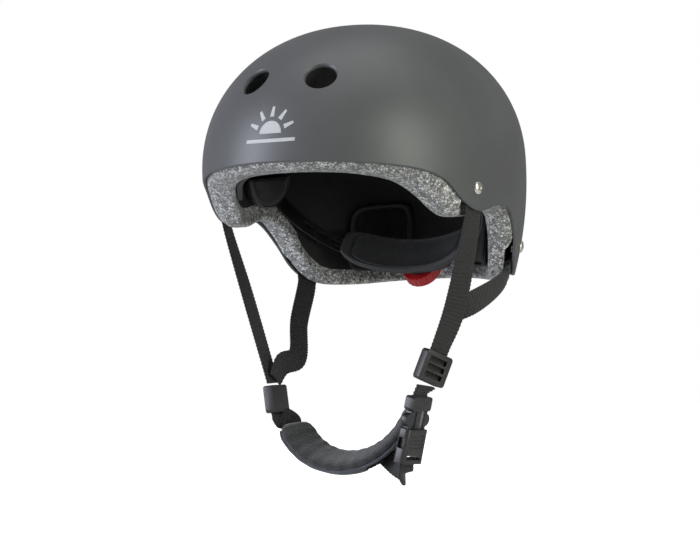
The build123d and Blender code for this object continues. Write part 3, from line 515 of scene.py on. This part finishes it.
thread = add(binding, "ShaderNodeTexNoise", inputs={"Scale": 1 / 0.0005, "Detail": 2}, links={"Vector": place})
binding.node_tree.links.new(ramp(binding, thread.outputs["Fac"], [(0.3, "202022"), (0.7, "37373A")]),
                            shader.inputs["Base Color"])
shader.inputs["Roughness"].default_value = 0.6
fold = add(binding, "ShaderNodeBump", inputs={"Strength": 0.4, "Distance": 0.0003},
           links={"Height": thread.outputs["Fac"]})
binding.node_tree.links.new(fold.outputs["Normal"], shader.inputs["Normal"])


def stuffed(part):
    """Pad height from its middle (0) to its edge (1): a crowned face, a stitched groove, a round binding."""
    inside = np.clip(part / (1 - BINDING), 0, 1)
    face = 0.5 + 0.5 * (1 - inside ** 4) ** 0.5
    bead = 0.34 + 0.3 * np.sqrt(np.clip(1 - (2 * (part - 1 + BINDING) / BINDING - 1) ** 2, 0, 1))
    return face if part < 1 - BINDING else bead


def rounded(half_width, half_height, power=4.0, count=96):
    """Superellipse outline."""
    turn = np.arange(count) * 2 * np.pi / count
    x, y = np.cos(turn), np.sin(turn)
    return np.stack([half_width * np.sign(x) * np.abs(x) ** (2 / power),
                     half_height * np.sign(y) * np.abs(y) ** (2 / power)], 1)


def comfort_pad(name, place, outline, back, front, fabric, slot, node, rows=28, body="helmet"):
    """Bound pad: the outer rings of its face take the binding."""
    pad = pillow(name, place, outline, back, front, stuffed, rows)
    around = len(outline)
    size = np.sin(np.linspace(0.03, 1, rows) * np.pi / 2)
    bound = np.concatenate([size[:-1] * 0 + 0, [1], (size[::-1][:-1] > 1 - BINDING) * 1])
    index = np.concatenate([np.repeat(bound, around), np.zeros(2 * around)]).astype(int)
    finish_piece(pad, fabric, body, slot, node)
    pad.data.materials.append(binding)
    pad.data.polygons.foreach_set("material_index", index)
    return pad


def brow_place(turn, height, inset):
    """Place on the brow: its height is counted from the foam's lower edge."""
    edge = rim_height(FOAM_RIM, PAD_BACK, turn)
    return dome(turn, edge + height, inset)


brow = rounded(1.0, 0.0122, 7, 200)
brow[:, 1] += 0.0140
comfort_pad("brow_pad_knit", brow_place, brow, PAD_BACK, PAD_BACK + PAD_THICKNESS, knit, "liner", "brow_pad")
mesh_knit = knit.copy()
mesh_knit.name = "crown_mesh_knit"
for node in mesh_knit.node_tree.nodes:
    if node.type == "VALTORGB":
        node.color_ramp.elements[0].color, node.color_ramp.elements[1].color = linear("1A1816"), linear("2E2A26")
    if node.type == "TEX_VORONOI":
        node.inputs["Scale"].default_value = 1 / 0.0024
crown = rounded(0.038, 0.023, 2.2)
crown[:, 1] -= 0.013
comfort_pad("crown_pad_mesh", from_above, crown, PAD_BACK, PAD_BACK + PAD_THICKNESS, mesh_knit, "crown_mesh",
            "crown_pad")
SIDE_BACK = 0.0251
half_round = np.stack([-0.0045 + 0.0272 * np.cos(-np.linspace(0.02, np.pi - 0.02, 80)),
                       -0.0008 + 0.0205 * np.sin(-np.linspace(0.02, np.pi - 0.02, 80))], 1)
half_round = np.concatenate([half_round, np.linspace(half_round[-1], half_round[0], 26)[1:-1]])
for side, hand in ((1, "left"), (-1, "right")):
    rear = rounded(0.0166, 0.0226, 5)
    rear += (side * 0.037, -0.049)
    comfort_pad(f"rear_pad_{hand}_knit", from_behind, rear, PAD_BACK, PAD_BACK + PAD_THICKNESS, knit, "liner",
                f"rear_pad_{hand}")
    comfort_pad(f"side_pad_{hand}_knit",
                lambda back, height, inset: from_side(side, back, height, inset), half_round,
                SIDE_BACK, SIDE_BACK + PAD_THICKNESS, knit, "liner", f"side_pad_{hand}")
hook, shader = new_material("hook_tape")
place = add(hook, "ShaderNodeTexCoord").outputs["Object"]
hooks = add(hook, "ShaderNodeTexVoronoi", inputs={"Scale": 1 / 0.0012, "Randomness": 0.2}, links={"Vector": place})
hook.node_tree.links.new(ramp(hook, hooks.outputs["Distance"], [(0.2, "2A2A2B"), (0.7, "0B0B0C")]),
                         shader.inputs["Base Color"])
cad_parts["hook_patches"].data.materials.clear()
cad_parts["hook_patches"].data.materials.append(hook)

# Fit ring.  Anchor plates at the temples, slotted nylon belts that slope down to a housing at the
# nape, a padded cradle inside it and a red dial whose pinion draws the racks together.
RING_ORIGIN = np.array([0, 0.012, -0.013])
SLOPE = np.sqrt(0.5)
RING_BACKWARD, RING_UP = np.array([0, SLOPE, -SLOPE]), np.array([0, SLOPE, SLOPE])
RING_HALF_WIDTH, RING_DEPTH = 0.0758, 0.072
NAPE_BACK, NAPE_THICKNESS = 0.0018, 0.006


def plastic(name, low, high, roughness, grain=0.0004, bump=0.12, wax=0.0):
    """Moulded plastic: slow changes of tone and a fine spark-eroded texture."""
    material, shader = new_material(name)
    place = add(material, "ShaderNodeTexCoord").outputs["Object"]
    tone = add(material, "ShaderNodeTexNoise", inputs={"Scale": 1 / 0.012, "Detail": 3}, links={"Vector": place})
    material.node_tree.links.new(ramp(material, tone.outputs["Fac"], [(0.3, low), (0.7, high)]),
                                 shader.inputs["Base Color"])
    shader.inputs["Roughness"].default_value = roughness
    shader.inputs["Subsurface Weight"].default_value = wax
    shader.inputs["Subsurface Radius"].default_value = (0.0012, 0.0004, 0.0003)
    fine = add(material, "ShaderNodeTexNoise", inputs={"Scale": 1 / grain, "Detail": 2}, links={"Vector": place})
    texture = add(material, "ShaderNodeBump", inputs={"Strength": bump, "Distance": 0.0002},
                  links={"Height": fine.outputs["Fac"]})
    material.node_tree.links.new(texture.outputs["Normal"], shader.inputs["Normal"])
    return material


def moulded(node, body, slot, material, radius, name=None):
    """Copy of a CAD node with its flat faces cleaned and its edges rounded, that stands for the node."""
    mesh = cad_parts[node].data.copy()
    mesh.materials.clear()
    work = bmesh.new()
    work.from_mesh(mesh)
    bmesh.ops.remove_doubles(work, verts=work.verts, dist=2e-6)
    bmesh.ops.dissolve_limit(work, angle_limit=np.radians(0.6), verts=work.verts, edges=work.edges)
    work.to_mesh(mesh)
    work.free()
    mesh.shade_smooth()
    piece = link_object(name or node + "_moulded", mesh)
    bevel = piece.modifiers.new("edges", "BEVEL")
    bevel.width, bevel.segments, bevel.limit_method = radius, 3, "ANGLE"
    bevel.angle_limit, bevel.harden_normals = np.radians(32), True
    shape = bpy.data.meshes.new_from_object(piece.evaluated_get(bpy.context.evaluated_depsgraph_get()))
    piece.modifiers.clear()
    piece.data = shape
    if body:
        finish_piece(piece, material, body, slot, node)
    return piece


black_nylon = plastic("black_moulded_nylon", "111112", "19191A", 0.42)
belt_nylon = plastic("black_belt_nylon", "0E0E0F", "161617", 0.30, bump=0.06)
red_acetal = plastic("red_moulded_acetal", "A3181C", "B42024", 0.34, bump=0.08, wax=0.15)
pinion_acetal = plastic("dark_pinion_acetal", "1C1C1D", "262627", 0.35)
for node, material in (("anchor_studs", black_nylon), ("dial_pinion", pinion_acetal)):
    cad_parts[node].data.materials.clear()
    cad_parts[node].data.materials.append(material)
for side, hand in ((1, "left"), (-1, "right")):
    moulded(f"fit_anchor_{hand}", "helmet", "black_plastic", black_nylon, 0.0004)
    belt = moulded(f"fit_belt_{hand}", None, "belt_plastic", belt_nylon, 0.0002)
    belt.data.materials.append(belt_nylon)
    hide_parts(f"fit_belt_{hand}")
    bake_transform(belt)
moulded("dial_housing", "cradle", "black_plastic", black_nylon, 0.0004)
moulded("fit_dial", "dial", "red_plastic", red_acetal, 0.0003)
moulded("dial_screw", "dial", "rivet", chrome, 0.0002)


def ring_place(arc, height, inset):
    """Place on the fit ring: arc is the sideways position and height runs across the belt."""
    turn = np.arcsin(np.clip(arc / (RING_HALF_WIDTH - inset), -1, 1))
    depth = (RING_DEPTH - inset) * np.cos(turn)
    return (RING_ORIGIN + arc[:, None] * np.array([1, 0, 0]) + depth[:, None] * RING_BACKWARD
            + height[:, None] * RING_UP)


comfort_pad("nape_pad_knit", ring_place, rounded(0.0476, 0.0137, 5, 140), NAPE_BACK, NAPE_BACK + NAPE_THICKNESS,
            knit, "liner", "nape_pad", body="cradle")

# Harness webbing.  15 mm black polyester, woven with a rib across it every 2.5 mm.  A front and a
# rear strap hang from each side; the left pair is sewn together and the right pair meets a slider.
WEB_WIDTH, WEB_THICKNESS, RIB = 0.015, 0.0014, 0.0025
STRAP_INSET = SHELL_WALL + 0.00025 + WEB_THICKNESS / 2
STRAP_TOP = 0.006
web, shader = new_material("ribbed_polyester_webbing")
spot = add(web, "ShaderNodeUVMap", {"uv_map": "UVMap"}).outputs["UV"]
lengthwise = add(web, "ShaderNodeMapping", inputs={"Scale": (1 / 0.0025, 1 / 0.0012, 1)}, links={"Vector": spot})
yarn = add(web, "ShaderNodeTexNoise", inputs={"Scale": 1.0, "Detail": 3}, links={"Vector": lengthwise.outputs["Vector"]})
fibre = add(web, "ShaderNodeTexWave", {"bands_direction": "Y"}, {"Scale": 1 / 0.0006 / 6.2832, "Distortion": 1.5},
            {"Vector": spot})
web.node_tree.links.new(ramp(web, yarn.outputs["Fac"], [(0.3, "161617"), (0.7, "252526")]),
                        shader.inputs["Base Color"])
shader.inputs["Roughness"].default_value = 0.72
shader.inputs["Specular IOR Level"].default_value = 0.35
shader.inputs["Sheen Weight"].default_value = 0.15
threads = add(web, "ShaderNodeBump", inputs={"Strength": 0.35, "Distance": 0.0002},
              links={"Height": fibre.outputs["Fac"]})
web.node_tree.links.new(threads.outputs["Normal"], shader.inputs["Normal"])


def unit(vector):
    """Vector, or rows of vectors, of length one."""
    vector = np.asarray(vector, float)
    return vector / np.linalg.norm(vector, axis=-1, keepdims=True)


def webbing(name, stations, thickness=WEB_THICKNESS, width=WEB_WIDTH, ribs=1.0):
    """Flat rounded section swept down a smooth line; half the thickness at length s is
    thickness / 2 * (0.82 + 0.26 * cos(2 pi s / RIB))."""
    line, facing = np.split(smooth_line([np.concatenate(station) for station in stations], 80), 2, axis=1)
    length = np.concatenate([[0], np.cumsum(np.linalg.norm(np.diff(line, axis=0), axis=1))])
    spot = np.linspace(0, length[-1], int(length[-1] / RIB * 6))
    line, facing = (np.stack([np.interp(spot, length, part) for part in whole.T], 1) for whole in (line, facing))
    ahead = unit(np.gradient(line, axis=0))
    across = unit(np.cross(ahead, facing))
    out = np.cross(across, ahead)
    turn = np.arange(20) * 2 * np.pi / 20
    side = np.sign(np.cos(turn)) * np.abs(np.cos(turn)) ** 0.3
    thick = np.sign(np.sin(turn)) * np.abs(np.sin(turn)) ** 0.5
    rib = np.cos(2 * np.pi * spot / RIB)[:, None]
    x = (width / 2 + 0.00012 * ribs * rib) * side
    y = thickness / 2 * (1 - 0.18 * ribs + 0.26 * ribs * rib) * thick
    rings = line[:, None] + x[..., None] * across[:, None] + y[..., None] * out[:, None]
    uv = np.stack(np.broadcast_arrays(spot[:, None], x), -1)
    return skin(name, rings, uv)


def wall_line(side, back, top, bottom, swing=0.0):
    """Five stations down the inside of the shell; the strap swings forwards and lifts off the wall."""
    stations = []
    for part in np.linspace(0, 1, 5):
        inset = STRAP_INSET + swing * part ** 2 / 8
        point = from_side(side, back - swing * part, top + (bottom - top) * part, inset)
        stations.append((point, dome_normal(point, inset)))
    return stations


def over(part):
    """A point given in millimetres."""
    return np.array(part, float) / 1000


JUNCTION = over((74.5, -27.5, -92))
GLIDE_CENTRE = over((64, -41, -126))
GLIDE_AXIS = unit(JUNCTION - GLIDE_CENTRE)
GLIDE_FACE, LEFT_FACE = np.array([0.94, -0.34, 0]), np.array([0.80, -0.60, 0])
SLIDER_CENTRE = over((-60, -32, -146))
SLIDER_AXIS, SLIDER_FACE = unit((-0.12, 0.10, 0.99)), np.array([-0.99, -0.05, 0])
BUCKLE_MOUTH = over((50.6, -47.6, -163.6))
BUCKLE_AXIS = unit(over((55.4, -45.2, -143.3)) - BUCKLE_MOUTH)
BUCKLE_FACE = np.array([0.99, -0.10, 0])
FRONT_TOP, REAR_TOP = FRONT_RIVET[1] + STRAP_TOP, REAR_RIVET[1] + STRAP_TOP
SWING = 0.010
seam_end = JUNCTION - LEFT_FACE * 0.0026
slider_top = SLIDER_CENTRE + SLIDER_AXIS * 0.009
front_end = slider_top + SLIDER_AXIS * 0.0015 + SLIDER_FACE * 0.00098
rear_end = slider_top + SLIDER_AXIS * 0.004 - SLIDER_FACE * 0.00126
straps = {
    "front_strap_left": wall_line(1, FRONT_RIVET[0], FRONT_TOP, -0.031)
    + [(JUNCTION, LEFT_FACE), (GLIDE_CENTRE + GLIDE_AXIS * 0.014, GLIDE_FACE),
       (GLIDE_CENTRE - GLIDE_AXIS * 0.0103, GLIDE_FACE)],
    "rear_strap_left": wall_line(1, REAR_RIVET[0], REAR_TOP, -0.076, SWING)
    + [(seam_end + over((8.4, 11.2, 4)), LEFT_FACE), (seam_end, LEFT_FACE)],
    "front_strap_right": wall_line(-1, FRONT_RIVET[0], FRONT_TOP, -0.031)
    + [(over((-80, -27, -75)), (-0.99, -0.05, 0)), (front_end, SLIDER_FACE)],
    "rear_strap_right": wall_line(-1, REAR_RIVET[0], REAR_TOP, -0.076, SWING)
    + [(over((-70, 20, -100)), (-0.86, 0.5, 0)), (over((-57.5, -7, -122)), (-0.9, 0.3, -0.3)),
       (rear_end + over((1.5, 8, 9)), (-0.95, 0.1, -0.2)), (rear_end, SLIDER_FACE)],
}
for node, stations in straps.items():
    strap = webbing(node + "_web", stations)
    strap.data.materials.append(web)
    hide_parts(node)
    left = node.endswith("left")
    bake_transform(strap)
loop = [(GLIDE_CENTRE - GLIDE_AXIS * 0.0128, GLIDE_FACE), (BUCKLE_MOUTH + BUCKLE_AXIS * 0.022, BUCKLE_FACE),
        (BUCKLE_MOUTH + BUCKLE_AXIS * 0.018, BUCKLE_FACE)]
finish_piece(webbing("buckle_loop_web", loop, 2 * WEB_THICKNESS), web, "buckle_male_half", "webbing",
             "buckle_loop_left")

# Hardware.  Injection-moulded acetal: a tri-glide and a slider on the webbing, and a side-release
# buckle whose plug has two sprung prongs.
acetal = plastic("charcoal_moulded_acetal", "1B1B1C", "252526", 0.40)
for node, body in (("tri_glide_left", "tri_glide"), ("strap_slider_right", "strap_slider"),
                   ("buckle_female", "helmet"), ("buckle_male", "buckle_male_half"),
                   ("buckle_prong_left", "prong_left_arm"), ("buckle_prong_right", "prong_right_arm")):
    moulded(node, body, "buckle_plastic", acetal, 0.0003)

# Chin rest.  The chin webbing runs from the slider to the buckle's socket through a sleeve on a
# curved foam pad, fleece against the chin and smooth knit outside, with a sewn seam between them.
CHIN_CENTRE = over((-6, -24.6, -141.6))
CHIN_RADIUS = 0.047
LEAN, CUP = np.radians([19.0, 38.0])
CHIN_FORWARD = np.array([0, -np.cos(LEAN), np.sin(LEAN)])
CHIN_UP = np.array([0, np.sin(LEAN), np.cos(LEAN)])
PAD_START, PAD_END = -152.5, -14.0
PAD_HALF_THICKNESS, PAD_HALF_WIDTH = 0.004, 0.012


def chin_axes(angle):
    """Outward, face and width directions on the chin arc at an angle in degrees."""
    turn = np.radians(angle)[..., None]
    outward = np.cos(turn) * np.array([1, 0, 0]) + np.sin(turn) * CHIN_UP
    return (outward, outward * np.cos(CUP) - CHIN_FORWARD * np.sin(CUP),
            outward * np.sin(CUP) + CHIN_FORWARD * np.cos(CUP))


arc = np.linspace(-158, -56, 21)
outward, face_way, _ = chin_axes(arc)
arc_points = CHIN_CENTRE + outward * CHIN_RADIUS + face_way * (PAD_HALF_THICKNESS + 0.0004 + WEB_THICKNESS / 2)
chin_line = [(slider_top, SLIDER_FACE), (SLIDER_CENTRE - SLIDER_AXIS * 0.0115, SLIDER_FACE)]
chin_line += list(zip(arc_points, face_way))
chin_line += [(BUCKLE_MOUTH - BUCKLE_AXIS * depth, BUCKLE_FACE) for depth in (0.029, 0.0235, 0.0184)]
finish_piece(webbing("chin_strap_web", chin_line), web, "helmet", "webbing", "chin_strap")

angles = np.linspace(PAD_START, PAD_END, 260)
along = np.radians(angles - PAD_START) * CHIN_RADIUS
total = along[-1]
near_end = np.clip(np.minimum(along, total - along) / 0.009, 0, 1)
narrow = np.sqrt(np.clip(1 - (1 - near_end) ** 2.4, 0.0004, 1))
turn = np.arange(72) * 2 * np.pi / 72
u = np.sign(np.cos(turn)) * np.abs(np.cos(turn)) ** 0.75
v = np.sign(np.sin(turn)) * np.abs(np.sin(turn)) ** 0.62
edge = np.abs(v) ** 10
wrinkle = (0.5 * np.sin(2 * np.pi * along / 0.0083 + 1.1 * np.sin(along / 0.013))
           + 0.3 * np.sin(2 * np.pi * along / 0.0127 + 2.0))[:, None]
inner = np.clip(-u, 0, 1)
thick = PAD_HALF_THICKNESS * narrow[:, None] * u * (1 + 0.10 * wrinkle * inner)
thick = thick + 0.00035 * wrinkle * np.cos(v * 2.2) * np.where(u < 0, 1.0, 0.35) * near_end[:, None]
sleeve_run = np.clip(np.minimum(angles + 145.5, -69 - angles) / 3, 0, 1)
sleeve = (0.0031 * (sleeve_run ** 2 * (3 - 2 * sleeve_run))[:, None]
          * np.clip(1 - np.abs(v / 0.78) ** 6, 0, 1) * np.clip(u, 0, 1) ** 0.4)
wide = PAD_HALF_WIDTH * (0.35 + 0.65 * narrow[:, None]) * v * (1 + 0.025 * wrinkle * edge)
outward, face_way, width_way = chin_axes(angles)
pad_points = (CHIN_CENTRE + CHIN_RADIUS * outward[:, None] + (thick + sleeve)[..., None] * face_way[:, None]
              + wide[..., None] * width_way[:, None])
chin_uv = np.stack(np.broadcast_arrays(along[:, None], np.cumsum(np.full(72, 0.0009))[None]), -1)
chin = skin("chin_pad_fleece", pad_points, chin_uv)
fleece, shader = new_material("charcoal_fleece")
place = add(fleece, "ShaderNodeTexCoord").outputs["Object"]
pile = add(fleece, "ShaderNodeTexNoise", inputs={"Scale": 1 / 0.0011, "Detail": 5, "Roughness": 0.7},
           links={"Vector": place})
fleece.node_tree.links.new(ramp(fleece, pile.outputs["Fac"], [(0.32, "1D1D1E"), (0.68, "38383A")]),
                           shader.inputs["Base Color"])
shader.inputs["Roughness"].default_value = 1.0
shader.inputs["Specular IOR Level"].default_value = 0.1
shader.inputs["Sheen Weight"].default_value = 0.5
tufts = add(fleece, "ShaderNodeBump", inputs={"Strength": 0.9, "Distance": 0.0007},
            links={"Height": pile.outputs["Fac"]})
fleece.node_tree.links.new(tufts.outputs["Normal"], shader.inputs["Normal"])
outer_knit, shader = new_material("slate_interlock_knit")
spot = add(outer_knit, "ShaderNodeUVMap", {"uv_map": "UVMap"}).outputs["UV"]
courses = add(outer_knit, "ShaderNodeTexVoronoi", inputs={"Scale": 1 / 0.0009, "Randomness": 0.25},
              links={"Vector": spot})
cloudy = add(outer_knit, "ShaderNodeTexNoise", inputs={"Scale": 1 / 0.006, "Detail": 3}, links={"Vector": spot})
outer_knit.node_tree.links.new(ramp(outer_knit, cloudy.outputs["Fac"], [(0.3, "33363C"), (0.7, "464A52")]),
                               shader.inputs["Base Color"])
shader.inputs["Roughness"].default_value = 0.8
shader.inputs["Sheen Weight"].default_value = 0.2
stitches = add(outer_knit, "ShaderNodeBump", {"invert": True}, {"Strength": 0.5, "Distance": 0.0003},
               {"Height": courses.outputs["Distance"]})
outer_knit.node_tree.links.new(stitches.outputs["Normal"], shader.inputs["Normal"])
chin.data.materials.append(fleece)
chin.data.materials.append(outer_knit)
outside = (np.roll(u, -1) + u > 0.35).astype(int)
chin.data.polygons.foreach_set("material_index", np.concatenate([np.tile(outside, len(angles) - 1), np.ones(144, int)]))
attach(chin, "chin_rest")
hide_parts("chin_pad")
for name, sign in (("chin_seam_front", 1), ("chin_seam_back", -1)):
    column = np.argmin(np.abs(turn - (np.pi / 2 if sign > 0 else 1.5 * np.pi)) + 0.0) - 3 * sign
    line = pad_points[8:-8, column] + 0.0004 * sign * width_way[8:-8]
    ahead = unit(np.gradient(line, axis=0))
    side_way = unit(np.cross(ahead, width_way[8:-8]))
    up_way = np.cross(side_way, ahead)
    ring = np.arange(10) * 2 * np.pi / 10
    cord = line[:, None] + 0.00085 * (np.cos(ring)[None, :, None] * side_way[:, None]
                                      + np.sin(ring)[None, :, None] * up_way[:, None])
    length = along[8:-8]
    piping = skin(name, cord, np.stack(np.broadcast_arrays(length[:, None], ring[None] * 0.0009), -1))
    finish_piece(piping, outer_knit, "chin_rest", "chin_fabric")

# Studio.  White paper under the helmet, white all round to the camera, a large softbox on each side.
FLOOR_HEIGHT = -0.2225
FLOOR_RADIUS = 0.5
floor = skin("studio_floor", turned_rings(np.array([0, 0, FLOOR_HEIGHT]), np.array([0, 0, 1.0]),
                                          [(-0.01, FLOOR_RADIUS), (0.0, FLOOR_RADIUS)], 96))
paper, shader = new_material("white_paper_sweep")
shader.inputs["Base Color"].default_value = linear("D8D8D8")
shader.inputs["Roughness"].default_value = 1.0
shader.inputs["Specular IOR Level"].default_value = 0.0
place = add(paper, "ShaderNodeTexCoord").outputs["Object"]
radius = add(paper, "ShaderNodeVectorMath", {"operation": "LENGTH"}, links={"Vector": place})
glow = add(paper, "ShaderNodeMapRange", {"interpolation_type": "SMOOTHSTEP"},
           {"From Min": 0.24, "From Max": 0.40, "To Min": 0.62, "To Max": 1.2}, {"Value": radius.outputs["Value"]})
seen = add(paper, "ShaderNodeLightPath")
only_seen = add(paper, "ShaderNodeMath", {"operation": "MULTIPLY"})
paper.node_tree.links.new(glow.outputs["Result"], only_seen.inputs[0])
paper.node_tree.links.new(seen.outputs["Is Camera Ray"], only_seen.inputs[1])
shader.inputs["Emission Color"].default_value = linear("FFFFFF")
paper.node_tree.links.new(only_seen.outputs["Value"], shader.inputs["Emission Strength"])
floor.data.materials.append(paper)
world = bpy.data.worlds.new("studio")
bpy.context.scene.world = world
world.use_nodes = True
surround = world.node_tree.nodes["Background"]
surround.inputs["Color"].default_value = (1, 1, 1, 1)
ray = world.node_tree.nodes.new("ShaderNodeLightPath")
level = world.node_tree.nodes.new("ShaderNodeMapRange")
level.inputs["To Min"].default_value = 0.28
level.inputs["To Max"].default_value = 1.0
world.node_tree.links.new(ray.outputs["Is Camera Ray"], level.inputs["Value"])
world.node_tree.links.new(level.outputs["Result"], surround.inputs["Strength"])


def softbox(name, place, size, power, colour):
    """Rectangular lamp that faces the helmet's middle."""
    lamp = bpy.data.lights.new(name, "AREA")
    lamp.shape, lamp.size, lamp.size_y = "RECTANGLE", *size
    lamp.energy = power
    lamp.color = linear(colour)[:3]
    piece = bpy.data.objects.new(name, lamp)
    bpy.context.scene.collection.objects.link(piece)
    piece.location = place
    away = np.array(place) - np.array([0, 0, -0.02])
    piece.rotation_euler = Vector(away).to_track_quat("Z", "Y").to_euler()


softbox("left_softbox", (-1.1, -1.0, 0.35), (0.5, 1.3), 26, "EDF2FF")
softbox("right_softbox", (1.35, -0.35, 0.3), (0.5, 1.3), 16, "FBFFF2")
softbox("top_softbox", (0.1, 0.2, 1.6), (1.4, 1.4), 10, "FFFFFF")

# Camera at the helmet's height, turned to its left front.
AZIMUTH, ELEVATION, ROLL = np.radians([30.58, 3.69, -4.24])
DISTANCE = 1.6152
AIM = np.array([-0.0095, -0.0109, -0.0709])
back = np.array([np.sin(AZIMUTH) * np.cos(ELEVATION), -np.cos(AZIMUTH) * np.cos(ELEVATION), np.sin(ELEVATION)])
level_right = np.array([np.cos(AZIMUTH), np.sin(AZIMUTH), 0])
right = np.cos(ROLL) * level_right + np.sin(ROLL) * np.cross(back, level_right)
lens = bpy.data.cameras.new("camera")
lens.lens, lens.sensor_width = 127.1, 36
camera = bpy.data.objects.new("camera", lens)
bpy.context.scene.collection.objects.link(camera)
axes = np.stack([right, np.cross(back, right), back], 1)
matrix = np.eye(4)
matrix[:3, :3], matrix[:3, 3] = axes, AIM + back * DISTANCE
camera.matrix_world = Matrix(matrix)
bpy.context.scene.camera = camera
bpy.context.scene.view_settings.view_transform = "Standard"
